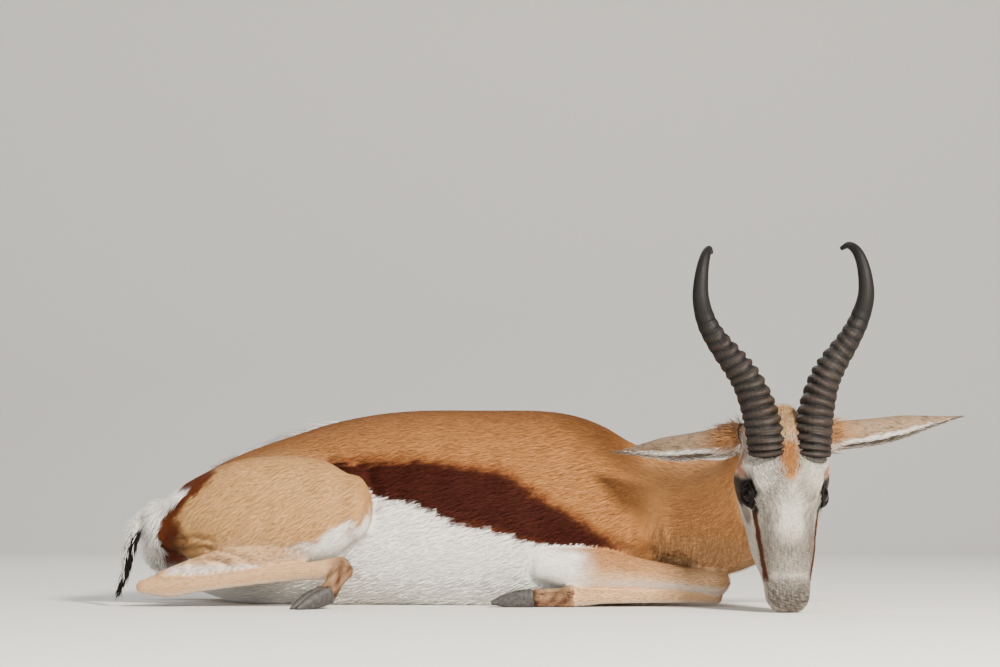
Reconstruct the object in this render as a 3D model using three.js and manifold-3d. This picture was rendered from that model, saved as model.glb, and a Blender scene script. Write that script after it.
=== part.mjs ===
// A springbok ram at rest: chest and belly down, legs folded, head turned to one side and
// standing on the tip of the muzzle with the face upright and the horns up.
// X runs from rump to breast, Y away from the side the face looks to, Z up from the floor.
// The animal's right side is the one at negative Y.
import * as THREE from "three";
import { mergeVertices } from "three/addons/utils/BufferGeometryUtils.js";
import Module from "manifold-3d";

const wasm = await Module();
wasm.setup();

// Driving sizes of the animal, in millimetres
const TRUNK_LENGTH = 650;
const TRUNK_DEPTH = 272; // back to breastbone
const TRUNK_WIDTH = 212;
const HEAD_LENGTH = 228; // crown to nose
const HEAD_WIDTH = 102; // across the cheekbones
const EYE_RADIUS = 15.5;
const LID_THICK = 2.4;
const EAR_LENGTH = 176;
const EAR_RADIUS = 21;
const EAR_THICK = 3;
const HORN_RISE = 240; // from its seat to the top of its curve
const HORN_SPREAD = 99; // from the midline to the widest point
const HORN_RADIUS = 21; // at the seat
const HORN_RINGS = 17;
const FEMUR = 186;
const SHIN = 236;
const HIND_CANNON = 212;
const FOREARM = 184;
const FORE_CANNON = 172;
const PASTERN = 42;
const HOOF_LENGTH = 50;
const TAIL_LENGTH = 170;
const GAP = 0.3; // between touching pieces

// Where things stand in the frame
const RUMP_X = -362;
const LOIN_CUT = -186; // rump meets belly
const RIB_CUT = 96; // belly meets chest
const HEAD_AT = new THREE.Vector3(378, -235, 0);
const HEAD_TURN = THREE.MathUtils.degToRad(5);
const FAR = 2000; // longer than the animal, for cutters

const rad = THREE.MathUtils.degToRad;
const V = (x, y, z) => new THREE.Vector3(x, y, z);

// The next joint along a bone of this length, by heading about Z and rise above level
function reach(from, length, heading, rise) {
  const level = length * Math.cos(rad(rise));
  return from.clone().add(V(
    level * Math.cos(rad(heading)),
    level * Math.sin(rad(heading)),
    length * Math.sin(rad(rise)),
  ));
}

// A smooth value through a list of values, u from 0 to 1
function glide(values, u) {
  const place = u * (values.length - 1);
  const i = Math.min(values.length - 2, Math.floor(place));
  const t = place - i;
  const pick = (k) => values[THREE.MathUtils.clamp(k, 0, values.length - 1)];
  const [p, a, b, q] = [pick(i - 1), pick(i), pick(i + 1), pick(i + 2)];
  return a + 0.5 * t * (b - p + t * (2 * p - 5 * a + 4 * b - q + t * (3 * (a - b) + q - p)));
}

// A closed surface through rings of points. The ends close on a middle point, or, for a
// channel section whose second half comes back along the first, on a strip.
function skinRings(rings, channel = false) {
  const count = rings[0].length;
  const points = rings.flat();
  const faces = [];
  for (let i = 0; i + 1 < rings.length; i++) {
    for (let k = 0; k < count; k++) {
      const a = i * count + k;
      const b = i * count + ((k + 1) % count);
      faces.push(a, b, a + count, b, b + count, a + count);
    }
  }
  const last = (rings.length - 1) * count;
  for (const [start, flip] of [[0, true], [last, false]]) {
    const close = [];
    if (channel) {
      for (let k = 0; k + 1 < count / 2; k++) {
        const [a, b, c, d] = [k, k + 1, count - 2 - k, count - 1 - k].map((n) => start + n);
        close.push([a, b, c], [a, c, d]);
      }
    } else {
      const centre = V(0, 0, 0);
      for (let k = 0; k < count; k++) centre.addScaledVector(points[start + k], 1 / count);
      const pole = points.push(centre) - 1;
      for (let k = 0; k < count; k++) close.push([start + k, start + ((k + 1) % count), pole]);
    }
    for (const [a, b, c] of close) faces.push(...(flip ? [b, a, c] : [a, b, c]));
  }
  const geometry = new THREE.BufferGeometry().setFromPoints(points);
  geometry.setIndex(faces);
  return geometry;
}

// A body whose sections follow a curve. Each key has its place and its section: half width,
// half height above and below, squareness, twist, and how far the top and foot draw in.
const DOME = [[0.94, 0.4], [0.55, 0.84]]; // how far out, how wide
function sections(keys, { side = V(0, 1, 0), axis } = {}) {
  const all = (name, spare) => keys.map((key) => key[name] ?? spare(key));
  const sizes = {
    wide: all("wide"),
    up: all("up", (key) => key.wide),
    down: all("down", (key) => key.up ?? key.wide),
    square: all("square", () => 2),
    twist: all("twist", () => 0),
    top: all("top", () => 0),
    foot: all("foot", () => 0),
  };
  const line = new THREE.CatmullRomCurve3(keys.map((key) => key.at), false, "catmullrom", 0.5);
  const point = (u, angle, { grow = 0, shrink = 1, push = 0 } = {}) => {
    const at = Object.fromEntries(Object.entries(sizes).map(([n, list]) => [n, glide(list, u)]));
    const along = axis ?? line.getTangent(u);
    const lift = along.clone().cross(side).normalize();
    const across = lift.clone().cross(along);
    for (const one of [lift, across]) one.applyAxisAngle(along, rad(at.twist));
    const [c, s] = [Math.cos(angle), Math.sin(angle)];
    const draw = 1 - (s > 0 ? at.top : at.foot) * s * s;
    const x = Math.sign(c) * Math.abs(c) ** (2 / at.square) * (at.wide + grow) * draw;
    const y = Math.sign(s) * Math.abs(s) ** (2 / at.square) * ((s > 0 ? at.up : at.down) + grow);
    return line.getPoint(u)
      .addScaledVector(along, push)
      .addScaledVector(across, x * shrink)
      .addScaledVector(lift, y * shrink);
  };
  return { point, bulk: (n) => Math.min(sizes.wide.at(n), sizes.up.at(n)) };
}
function limb(keys, options = {}) {
  const { sides = 8, steps = 2, grow = 0, domes = [1, 1] } = options;
  const { point, bulk } = sections(keys, options);
  const ring = (u, shrink, push) => Array.from({ length: sides }, (_, k) => (
    point(u, (2 * Math.PI * k) / sides, { grow, shrink, push })
  ));
  const rings = DOME.map(([out, shrink]) => ring(0, shrink, -domes[0] * bulk(0) * out - grow));
  const count = steps * (keys.length - 1);
  for (let i = 0; i <= count; i++) rings.push(ring(i / count, 1, 0));
  for (const [out, shrink] of DOME.toReversed()) {
    rings.push(ring(1, shrink, domes[1] * bulk(-1) * out + grow));
  }
  return skinRings(rings);
}

// Moves the points near each spot by its push, fading with distance
function swell(geometry, spots) {
  const place = geometry.getAttribute("position");
  const point = V(0, 0, 0);
  for (let i = 0; i < place.count; i++) {
    point.fromBufferAttribute(place, i);
    const move = V(0, 0, 0);
    for (const { at, size, push } of spots) {
      move.addScaledVector(push, Math.exp(-point.distanceToSquared(at) / (size * size)));
    }
    point.add(move);
    place.setXYZ(i, point.x, point.y, point.z);
  }
  return geometry;
}

// Between three.js geometry and solids
function solid(geometry) {
  const bare = geometry.clone();
  for (const name of ["normal", "uv"]) bare.deleteAttribute(name);
  const merged = mergeVertices(bare, 1e-3);
  const triVerts = new Uint32Array(merged.index.array);
  const vertProperties = new Float32Array(merged.attributes.position.array);
  const build = () => new wasm.Manifold(new wasm.Mesh({ numProp: 3, vertProperties, triVerts }));
  if (build().volume() < 0) {
    for (let i = 0; i < triVerts.length; i += 3) {
      [triVerts[i], triVerts[i + 1]] = [triVerts[i + 1], triVerts[i]];
    }
  }
  return build();
}
const carve = (body, ...cutters) => cutters.reduce((left, cutter) => left.subtract(cutter), body);
const join = (...pieces) => pieces.reduce((sum, piece) => sum.add(piece));
const largest = (body) => body.decompose().reduce((a, b) => (a.volume() > b.volume() ? a : b));
const block = (low, high) => {
  const size = high.clone().sub(low);
  const middle = low.clone().add(high).multiplyScalar(0.5);
  const box = new THREE.BoxGeometry(size.x, size.y, size.z);
  return solid(box.translate(middle.x, middle.y, middle.z));
};
const floor = block(V(-FAR, -FAR, -FAR), V(FAR, FAR, 0));

function geometryOf(body) {
  const { numProp, vertProperties, triVerts } = largest(body).getMesh();
  const points = [];
  for (let i = 0; i < vertProperties.length; i += numProp) {
    points.push(V(vertProperties[i], vertProperties[i + 1], vertProperties[i + 2]));
  }
  const geometry = new THREE.BufferGeometry().setFromPoints(points);
  geometry.setIndex([...triVerts]);
  geometry.computeVertexNormals();
  return geometry;
}

// Finishes, one for each kind of surface
const finish = (color, roughness) => new THREE.MeshStandardMaterial({ color, roughness });
const TAN = finish(0xb07a48, 0.8);
const PALE_TAN = finish(0xc9a274, 0.8);
const FLANK = finish(0x9a6a40, 0.8);
const WHITE = finish(0xe4ddd0, 0.8);
const FACE = finish(0xcfc8bb, 0.75);
const HORN = finish(0x2b221d, 0.45);
const HOOF = finish(0x4a423b, 0.5);
const EYE = finish(0x0c0908, 0.08);

const animal = new THREE.Group();
const headGroup = new THREE.Group();
headGroup.position.copy(HEAD_AT);
headGroup.rotation.z = HEAD_TURN;
headGroup.updateMatrixWorld(true);
animal.add(headGroup);

function place(name, body, material, group = animal) {
  const mesh = new THREE.Mesh(geometryOf(body), material);
  mesh.name = name;
  group.add(mesh);
}

// The trunk leans on its far side, so the back is turned away and the belly towards the face
const trunkKey = (share, across, height, deep, broad, roll) => ({
  at: V(RUMP_X + share * TRUNK_LENGTH, across, height),
  wide: (broad * TRUNK_WIDTH) / 2,
  up: (deep * TRUNK_DEPTH) / 2,
  square: 2.15,
  twist: -roll,
  top: 0.08,
});
const TRUNK = [
  trunkKey(0.02, 16, 84, 0.3, 0.38, 42),
  trunkKey(0.07, 14, 82, 0.5, 0.58, 42),
  trunkKey(0.16, 10, 88, 0.71, 0.78, 41),
  trunkKey(0.3, 4, 100, 0.89, 0.9, 40),
  trunkKey(0.45, 0, 111, 0.97, 0.98, 38),
  trunkKey(0.6, 0, 109, 1, 1.02, 36),
  trunkKey(0.75, 0, 104, 0.98, 1, 30),
  trunkKey(0.87, -4, 92, 0.79, 0.92, 24),
  trunkKey(0.96, -8, 80, 0.62, 0.74, 15),
  trunkKey(1, -10, 72, 0.47, 0.58, 10),
];
const TRUNK_SPOTS = [
  { at: V(222, -92, 112), size: 58, push: V(2, -9, 0) }, // point of the shoulder
  { at: V(168, -104, 80), size: 52, push: V(0, -9, 2) }, // upper arm
  { at: V(215, 84, 100), size: 62, push: V(2, 9, 0) }, // far shoulder
  { at: V(165, 92, 72), size: 52, push: V(0, 8, 2) },
  { at: V(150, -30, 208), size: 60, push: V(0, -3, 4) }, // blade of the shoulder
  { at: V(-84, -104, 128), size: 46, push: V(0, 4, -1) }, // hollow of the flank
];
const trunkShape = (grow) => swell(
  limb(TRUNK, { sides: 20, grow, domes: [0.6, 0.5] }),
  TRUNK_SPOTS,
);

// A folded hind leg. The far one lies flatter, with the foot stretched forward.
function hindLeg(mirror, pose) {
  const across = (y) => mirror * y;
  const hip = V(RUMP_X + 72, across(pose.hip.y), pose.hip.z);
  const turn = (heading) => mirror * heading;
  const stifle = reach(hip, FEMUR, turn(pose.femur[0]), pose.femur[1]);
  const hock = reach(stifle, SHIN, turn(pose.shin[0]), pose.shin[1]);
  const fetlock = reach(hock, HIND_CANNON, turn(pose.cannon[0]), pose.cannon[1]);
  const heel = reach(fetlock, PASTERN, turn(pose.pastern[0]), pose.pastern[1]);
  return { mirror, pose, hip, stifle, hock, fetlock, heel };
}
const along = (a, b, share, lift = 0) => a.clone().lerp(b, share).add(V(0, 0, lift));

const thighShape = ({ hip, stifle, mirror, pose }, grow) => {
  const key = (share, lift, high, broad) => ({
    at: along(hip, stifle, share, lift),
    wide: broad * FEMUR * pose.bulk,
    up: high * FEMUR * pose.bulk,
    twist: mirror * pose.lean,
    square: 2.2,
  });
  return limb([
    key(-0.24, -9, 0.17, 0.17),
    key(-0.04, -5, 0.295, 0.25),
    key(0.24, 0, 0.385, 0.29),
    key(0.54, 2, 0.39, 0.27),
    key(0.82, 2, 0.33, 0.22),
    key(1.02, 4, 0.22, 0.155),
  ], { sides: 14, grow, domes: [0.9, 0.75] });
};
const shankShape = ({ stifle, hock }, grow) => limb([
  { at: along(stifle, hock, 0.26, -16), wide: 21, up: 25 },
  { at: along(stifle, hock, 0.52, -8), wide: 17, up: 21 },
  { at: along(stifle, hock, 0.8, 2), wide: 12.5, up: 16 },
  { at: along(stifle, hock, 1, 3), wide: 12, up: 15 },
], { grow, domes: [0.6, 0.7] });
const hindCannonShape = ({ hock, fetlock }, grow) => limb([
  { at: along(hock, fetlock, -0.13, 0), wide: 8, up: 9 },
  { at: along(hock, fetlock, -0.05, 0), wide: 11.5, up: 13.5 },
  { at: along(hock, fetlock, 0.06, 0), wide: 14, up: 17 },
  { at: along(hock, fetlock, 0.22), wide: 10.5, up: 13.5 },
  { at: along(hock, fetlock, 0.6), wide: 9.5, up: 11.5 },
  { at: along(hock, fetlock, 0.86), wide: 10.5, up: 12.5 },
  { at: along(hock, fetlock, 1), wide: 13, up: 15 },
], { grow, domes: [0.8, 0.7] });
const pasternShape = ({ fetlock, heel }, grow) => limb([
  { at: along(fetlock, heel, 0), wide: 13.5, up: 15 },
  { at: along(fetlock, heel, 0.5), wide: 12, up: 12 },
  { at: along(fetlock, heel, 1), wide: 14, up: 12.5 },
], { grow, domes: [0.6, 0.3] });

// One of a foot's two hooves: a wedge with an upright wall and a pointed toe
function hoofShape(heel, heading, rise, spread, grow) {
  const apart = 7.4;
  const across = V(-Math.sin(rad(heading)), Math.cos(rad(heading)), 0);
  const key = (share, high, broad, drop) => ({
    at: reach(heel, HOOF_LENGTH * share, heading, rise)
      .addScaledVector(across, spread * apart * (1 - 0.25 * share))
      .add(V(0, 0, drop)),
    wide: broad,
    up: high,
    square: 2.6,
    top: 0.25,
  });
  return limb([
    key(0.06, 10.5, 6.6, 0),
    key(0.4, 10, 6.1, -1),
    key(0.75, 6.5, 4.7, -2.5),
    key(0.98, 2.6, 2.2, -4),
  ], { side: across, sides: 8, steps: 1, grow, domes: [0.5, 0.6] });
}

// A folded foreleg: forearm forward, cannon and foot doubled back beside it
function foreLeg(mirror, elbowY) {
  const elbow = V(136, mirror * elbowY, 48);
  const knee = reach(elbow, FOREARM, mirror * 6, -6);
  const cannonTop = knee.clone().add(V(-4, -mirror * 13, -15));
  const fetlock = reach(cannonTop, FORE_CANNON, 180 - mirror * 5, -1);
  const heel = reach(fetlock, PASTERN, 180 - mirror * 2, 0);
  return { mirror, elbow, knee, cannonTop, fetlock, heel };
}
const forearmShape = ({ elbow, knee }, grow) => limb([
  { at: along(elbow, knee, -0.14, 4), wide: 22, up: 26 },
  { at: along(elbow, knee, 0.12), wide: 24, up: 29 },
  { at: along(elbow, knee, 0.5), wide: 17, up: 19 },
  { at: along(elbow, knee, 0.84), wide: 13.5, up: 14.5 },
  { at: along(elbow, knee, 1), wide: 15, up: 16 },
], { grow, domes: [0.7, 0.8] });
const foreCannonShape = ({ cannonTop, fetlock }, grow) => limb([
  { at: along(cannonTop, fetlock, 0), wide: 12, up: 13 },
  { at: along(cannonTop, fetlock, 0.2), wide: 9.5, up: 10.5 },
  { at: along(cannonTop, fetlock, 0.7), wide: 8.5, up: 9.5 },
  { at: along(cannonTop, fetlock, 1), wide: 11.5, up: 12 },
], { grow, domes: [0.8, 0.6] });

// Head, in its own frame: face towards -Y, nose down at Z 0, the animal's left at +X
const headKey = (height, broad, middle, front, back, top, foot, square = 2.3) => ({
  at: V(0, middle, (height * HEAD_LENGTH) / 228),
  wide: (broad * HEAD_WIDTH) / 102,
  up: front,
  down: back,
  top,
  foot,
  square,
});
const HEAD = [
  headKey(4, 19, -27, 14, 15, 0.25, 0.25),
  headKey(12, 24.5, -26, 19, 19, 0.3, 0.26),
  headKey(22, 26, -26, 22, 27, 0.3, 0.16, 2.5),
  headKey(40, 28.5, -21, 28.5, 29, 0.3, 0.1, 2.7),
  headKey(62, 35.5, 0, 51, 20, 0.32, 0.08, 2.8),
  headKey(86, 39.5, 10, 62, 22, 0.32, 0.1, 2.8),
  headKey(110, 44.5, 14, 67, 33, 0.28, 0.18, 2.7),
  headKey(132, 49.5, 0, 55, 57, 0.22, 0.3, 2.6),
  headKey(152, 52, -8, 45, 73, 0.22, 0.3),
  headKey(174, 48, -12, 35, 80, 0.2, 0.32),
  headKey(196, 41, -8, 30, 74, 0.14, 0.3),
  headKey(212, 34, 4, 26, 54, 0.1, 0.2),
  headKey(222, 22, 12, 18, 30, 0.1, 0.1),
];
const mirrored = (spots) => spots.flatMap(({ at, push, size }) => [1, -1].map((way) => ({
  at: V(at.x * way, at.y, at.z),
  push: V(push.x * way, push.y, push.z),
  size,
})));
const HEAD_SPOTS = mirrored([
  { at: V(44, -36, 144), size: 16, push: V(2.5, -2, 0) }, // brow
  { at: V(52, -4, 144), size: 20, push: V(4.5, 0, 0) }, // rim behind the eye
  { at: V(12, -44, 192), size: 20, push: V(0, 3, 0) }, // hollow before the crown
  { at: V(19, -42, 14), size: 9, push: V(2.5, -1.5, 0) }, // nostril wing
  { at: V(40, 24, 124), size: 22, push: V(1.5, 0, 0) }, // cheek muscle
  { at: V(34, -34, 104), size: 13, push: V(-2, 1.5, 0) }, // hollow before the eye
  { at: V(20, -50, 60), size: 18, push: V(-1, 1, 0) }, // side of the nasal bridge
]);
const headShape = (grow) => swell(
  limb(HEAD, { sides: 22, side: V(-1, 0, 0), axis: V(0, 0, 1), grow, domes: [0.35, 0.5] }),
  HEAD_SPOTS,
);

const EYE_AT = V(32.5, -18, 131);
const EYE_LOOK = V(0.88, -0.42, 0.05).normalize();
const mirrorPoint = (point, way) => V(point.x * way, point.y, point.z);
const ballShape = (radius, at) => new THREE.SphereGeometry(radius, 12, 8)
  .rotateX(Math.PI / 2).translate(at.x, at.y, at.z);

// The gap between the lids, longer towards the nose than across
function lidOpening(way) {
  const look = mirrorPoint(EYE_LOOK, way);
  const slit = new THREE.SphereGeometry(1, 14, 6).scale(14, 9.4, 12.8);
  const turn = new THREE.Matrix4().makeBasis(
    look,
    V(0, 0, 1).cross(look).normalize(),
    look.clone().cross(V(0, 0, 1).cross(look).normalize()),
  );
  const lean = new THREE.Matrix4().makeRotationX(rad(way * 16));
  const at = mirrorPoint(EYE_AT, way).addScaledVector(look, EYE_RADIUS);
  return solid(slit.applyMatrix4(lean).applyMatrix4(turn).translate(at.x, at.y, at.z));
}

function nostril(way) {
  const hole = new THREE.SphereGeometry(1, 10, 6).scale(3.4, 7, 6.4);
  hole.rotateZ(rad(-way * 38)).rotateY(rad(way * 24));
  return solid(hole.translate(way * 15, -45, 13));
}

// Where a line from outside first meets the head
function onHead(from, towards) {
  const mesh = new THREE.Mesh(headShape(0), new THREE.MeshBasicMaterial({ side: THREE.DoubleSide }));
  const ray = new THREE.Raycaster(from, towards.clone().sub(from).normalize());
  return ray.intersectObject(mesh)[0].point;
}

// The line of the mouth, from one corner round the lips to the other
function mouthLine() {
  const LIP = [
    { x: 60, y: -9, z: 60 },
    { x: 60, y: -13, z: 44 },
    { x: 60, y: -17, z: 28 },
    { x: 60, y: -20, z: 15 },
    { x: 14, y: -22, z: -30 },
  ];
  const sideways = LIP.map(({ x, y, z }) => onHead(V(x, y, z), V(0, y, Math.max(z, 12))));
  const whole = [...sideways, ...sideways.toReversed().map((p) => V(-p.x, p.y, p.z))];
  return solid(limb(whole.map((at) => ({ at, wide: 1.1, up: 1.1 })), {
    sides: 6, steps: 1, side: V(0.2, 1, 0.1),
  }));
}

// An ear: a leaf-shaped cup, thin all over, open along one side. From root to tip it has its
// radius as a share of the widest, and how far its wall goes round to either side, in degrees.
const EAR_ROUND = [1, 1.06, 1.04, 1.02, 0.97, 0.72, 0.4, 0.1];
const EAR_SWEEP = [150, 142, 132, 125, 118, 105, 95, 85];
const EAR_WALL = [1.2, 1.1, 1, 0.9, 0.8, 0.7, 0.45, 0.2];
const EAR_FLAT = 0.8; // how deep the cup is for its width
function earShape(way, aim, open, grow) {
  const root = V(way * 38, 14, 195);
  const tip = root.clone().addScaledVector(aim.clone().normalize(), EAR_LENGTH);
  const line = new THREE.QuadraticBezierCurve3(
    root,
    root.clone().lerp(tip, 0.55).addScaledVector(open, 11),
    tip,
  );
  const STEPS = 12;
  const HALF = 8;
  const rings = Array.from({ length: STEPS + 1 }, (_, i) => {
    const u = i / STEPS;
    const radius = EAR_RADIUS * glide(EAR_ROUND, u);
    const sweep = rad(glide(EAR_SWEEP, u));
    const thick = EAR_THICK * glide(EAR_WALL, u);
    const axis = line.getTangent(u);
    const back = open.clone().negate();
    back.addScaledVector(axis, -back.dot(axis)).normalize();
    const across = axis.clone().cross(back);
    const centre = line.getPoint(u);
    const at = (angle, r) => centre.clone()
      .addScaledVector(back, Math.cos(angle) * r * EAR_FLAT)
      .addScaledVector(across, Math.sin(angle) * r);
    const angles = Array.from({ length: HALF }, (_, k) => (2 * k / (HALF - 1) - 1) * sweep);
    const outer = angles.map((angle) => at(angle, radius + grow));
    const inner = angles.toReversed().map((angle) => at(angle, Math.max(radius - thick, radius * 0.4)));
    return [...outer, ...inner];
  });
  return skinRings(rings, true);
}

// A horn: ringed for two thirds of its length, then smooth to a hooked tip. Each row is the
// share of the rise, the share of the spread and how far back it stands.
const HORN_LINE = [
  [-0.01, 0.258, -30], [0.1, 0.283, -27], [0.2, 0.318, -22], [0.29, 0.38, -17], [0.37, 0.46, -11],
  [0.44, 0.567, -6], [0.55, 0.757, 0], [0.64, 0.878, 2], [0.755, 0.955, -2],
  [0.885, 0.935, 0], [0.965, 0.88, 8], [1, 0.815, 22], [0.992, 0.765, 36],
];
const HORN_SEAT = 172;
const HORN_ODDS = 3; // the left horn stands this much taller, the right one as much lower
const HORN_SHIFT = 3; // and the pair as far over to the animal's left
const HORN_GIRTH = [0.98, 0.97, 0.95, 0.85, 0.75, 0.64, 0.55, 0.46, 0.37, 0.26, 0.12];
const RINGED_SHARE = 0.66;
function hornShape(way, grow) {
  const line = new THREE.CatmullRomCurve3(HORN_LINE.map(([rise, spread, back]) => V(
    way * spread * HORN_SPREAD + HORN_SHIFT, back, HORN_SEAT + rise * (HORN_RISE + way * HORN_ODDS),
  )));
  const stations = [];
  for (let i = 0; i < HORN_RINGS; i++) {
    const from = RINGED_SHARE * (i / HORN_RINGS) ** 1.12;
    const to = RINGED_SHARE * ((i + 1) / HORN_RINGS) ** 1.12;
    const fade = 1 - (i / HORN_RINGS) ** 4;
    stations.push([from, -0.9 * fade], [from + 0.55 * (to - from), 0.9 * fade]);
  }
  const SMOOTH_STEPS = 10;
  for (let i = 0; i <= SMOOTH_STEPS; i++) {
    stations.push([RINGED_SHARE + ((1 - RINGED_SHARE) * i) / SMOOTH_STEPS, 0]);
  }
  const SIDES = 9;
  const rings = stations.map(([u, ridge]) => {
    const axis = line.getTangentAt(u);
    const inward = V(-way, 0, 0);
    inward.addScaledVector(axis, -inward.dot(axis)).normalize();
    const front = axis.clone().cross(inward);
    const radius = HORN_RADIUS * glide(HORN_GIRTH, u) + grow;
    return Array.from({ length: SIDES }, (_, k) => {
      const angle = (2 * Math.PI * k) / SIDES;
      const bump = radius + ridge * (1.3 + 0.5 * Math.cos(angle));
      return line.getPointAt(u).clone()
        .addScaledVector(inward, Math.cos(angle) * bump * 0.97)
        .addScaledVector(front, Math.sin(angle) * bump * 1.06);
    });
  });
  return skinRings(rings);
}

function neckShape(grow) {
  return limb([
    { at: V(150, 24, 126), wide: 84, up: 82, down: 90 },
    { at: V(235, -14, 116), wide: 76, up: 74, down: 84 },
    { at: V(300, -75, 108), wide: 64, up: 68, down: 78 },
    { at: V(345, -140, 120), wide: 54, up: 60, down: 70 },
    { at: V(374, -196, 156), wide: 44, up: 54, down: 56 },
  ], { side: V(0.7, 0.7, 0), sides: 18, grow, domes: [0.4, 0.3] });
}

const TAIL_ROOT = V(RUMP_X + 22, -6, 112);
const tailLine = (() => {
  const bend = reach(TAIL_ROOT, TAIL_LENGTH * 0.34, 236, -22);
  const low = reach(bend, TAIL_LENGTH * 0.36, 250, -56);
  return [TAIL_ROOT, bend, low, reach(low, TAIL_LENGTH * 0.2, 255, -50)];
})();
const TAIL_GIRTH = [[15, 12], [12, 9], [8, 6.5], [4, 4]];
const TAIL_SIDE = V(0.6, -0.8, 0);
const tailShape = (grow) => limb(
  TAIL_GIRTH.map(([wide, up], i) => ({ at: tailLine[i], wide, up })),
  { side: TAIL_SIDE, grow },
);

// Head and what it carries
const rawHead = solid(headShape(0));
const balls = (radius) => [1, -1].map((way) => ballShape(radius, mirrorPoint(EYE_AT, way)));
const eyes = balls(EYE_RADIUS).map(solid);
const sockets = balls(EYE_RADIUS + GAP).map(solid);
const lids = balls(EYE_RADIUS + LID_THICK).map(solid);
const headCutters = [headShape(GAP), ...balls(EYE_RADIUS + LID_THICK + GAP)];
const headCutter = join(...headCutters.map(solid));
const head = carve(
  join(rawHead, ...lids), ...sockets, lidOpening(1), lidOpening(-1),
  nostril(1), nostril(-1), mouthLine(), floor,
);
place("head", head, FACE, headGroup);
const NAMES = { 1: "left", "-1": "right" };
const EAR_AIMS = { 1: V(0.99, 0.01, 0.138), "-1": V(-0.775, 0.624, -0.09) };
const EAR_OPEN = V(0, -0.22, -0.97).normalize();
[1, -1].forEach((way, i) => {
  place(`eye_${NAMES[way]}`, eyes[i], EYE, headGroup);
  const horn = carve(solid(hornShape(way, 0)), headCutter);
  place(`horn_${NAMES[way]}`, horn, HORN, headGroup);
  const ear = solid(earShape(way, EAR_AIMS[way], EAR_OPEN, 0));
  place(`ear_${NAMES[way]}`, carve(ear, headCutter, solid(hornShape(way, GAP))), PALE_TAN, headGroup);
});
const earCutters = [1, -1].map((way) => earShape(way, EAR_AIMS[way], EAR_OPEN, GAP));
const headInFrame = join(...[...headCutters, ...earCutters].map((shape) => (
  solid(shape.clone().applyMatrix4(headGroup.matrixWorld))
)));

// Legs
const nearHind = hindLeg(-1, {
  hip: { y: 60, z: 104 }, femur: [17, 2.5], shin: [178, -21.5], cannon: [4, 5.5],
  pastern: [122, -44], hoof: [138, -14], lean: 16, bulk: 1,
});
const farHind = hindLeg(1, {
  hip: { y: 62, z: 76 }, femur: [20, -8], shin: [184, -7], cannon: [7, 0],
  pastern: [2, -4], hoof: [0, -3], lean: 40, bulk: 0.86,
});
const nearFore = foreLeg(-1, 104);
const farFore = foreLeg(1, 88);

// A leg's pieces from the body outward. Each gives way to those further out.
const legCutters = [];
function placeLeg(leg, names, shapes, heading, rise) {
  const side = leg.mirror < 0 ? "right" : "left";
  const hooves = [1, -1].map((spread) => (
    (_, grow) => hoofShape(leg.heel, heading, rise, spread, grow)
  ));
  const all = [...shapes, ...hooves];
  const cutters = all.map((shape) => solid(shape(leg, GAP)));
  all.forEach((shape, i) => {
    const hoof = i >= shapes.length;
    const name = hoof ? `hoof_${names[0]}_${side}_${i - shapes.length + 1}` : `${names[i + 1]}_${side}`;
    const beyond = hoof ? [] : cutters.slice(i + 1);
    place(name, carve(solid(shape(leg, 0)), ...beyond, floor), hoof ? HOOF : PALE_TAN);
  });
  legCutters.push(...cutters);
}
for (const leg of [nearHind, farHind]) {
  const [heading, rise] = leg.pose.hoof;
  placeLeg(
    leg,
    ["hind", "thigh", "shank", "cannon_hind", "pastern_hind"],
    [thighShape, shankShape, hindCannonShape, pasternShape],
    leg.mirror * heading,
    rise,
  );
}
for (const leg of [nearFore, farFore]) {
  placeLeg(
    leg,
    ["fore", "forearm", "cannon_fore", "pastern_fore"],
    [forearmShape, foreCannonShape, pasternShape],
    180 - leg.mirror * 2,
    -2,
  );
}

// Locks: flat, tapered strands of long hair. Each starts under the surface and bends down
// towards its tip.
const LOCK_SINK = 9;
const LOCK_FLAT = 0.24; // thickness over width
function lockSolid({ root, towards, normal, length, width, sag }) {
  const out = towards.clone().normalize();
  const across = out.clone().cross(normal).normalize();
  const rise = across.clone().cross(out);
  const ring = (share, broad) => {
    const centre = root.clone()
      .addScaledVector(out, share * (length + LOCK_SINK) - LOCK_SINK)
      .addScaledVector(rise, -sag * share * share);
    const half = (broad * width) / 2;
    return [1, 0, -1, 0].map((turn, k) => centre.clone()
      .addScaledVector(across, turn * half)
      .addScaledVector(rise, [0, 1, 0, -1][k] * half * LOCK_FLAT));
  };
  return solid(skinRings([ring(0, 0.8), ring(0.35, 1), ring(0.7, 0.72), ring(0.98, 0.14)]));
}
let seed = 7;
const draw = (low, high) => {
  seed = (seed * 16807) % 2147483647;
  return low + (high - low) * (seed / 2147483647);
};
const trunkSections = sections(TRUNK);
function trunkRoot(share, angle) {
  const here = trunkSections.point(share, angle);
  const onward = trunkSections.point(share + 0.01, angle).sub(here);
  const round = trunkSections.point(share, angle + 0.05).sub(here);
  return { root: here, normal: round.cross(onward).normalize() };
}

// The white fan that lies folded along the back, its tips towards the tail
const FAN_REACH = [0.32, 0.46];
const FAN_ROWS = [0.05, 0.19];
const FAN_LOCKS = 8;
const fan = FAN_ROWS.flatMap((offset, row) => Array.from({ length: FAN_LOCKS }, (_, i) => {
  const share = THREE.MathUtils.lerp(...FAN_REACH, (i + 0.5 * row) / FAN_LOCKS);
  const { root, normal } = trunkRoot(share, Math.PI / 2 + offset + draw(-0.03, 0.03));
  const towards = V(-1, 0.05, 0).addScaledVector(normal, draw(0.17, 0.29));
  return lockSolid({ root, towards, normal, length: draw(78, 100), width: draw(13, 16), sag: 6 });
}));

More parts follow.
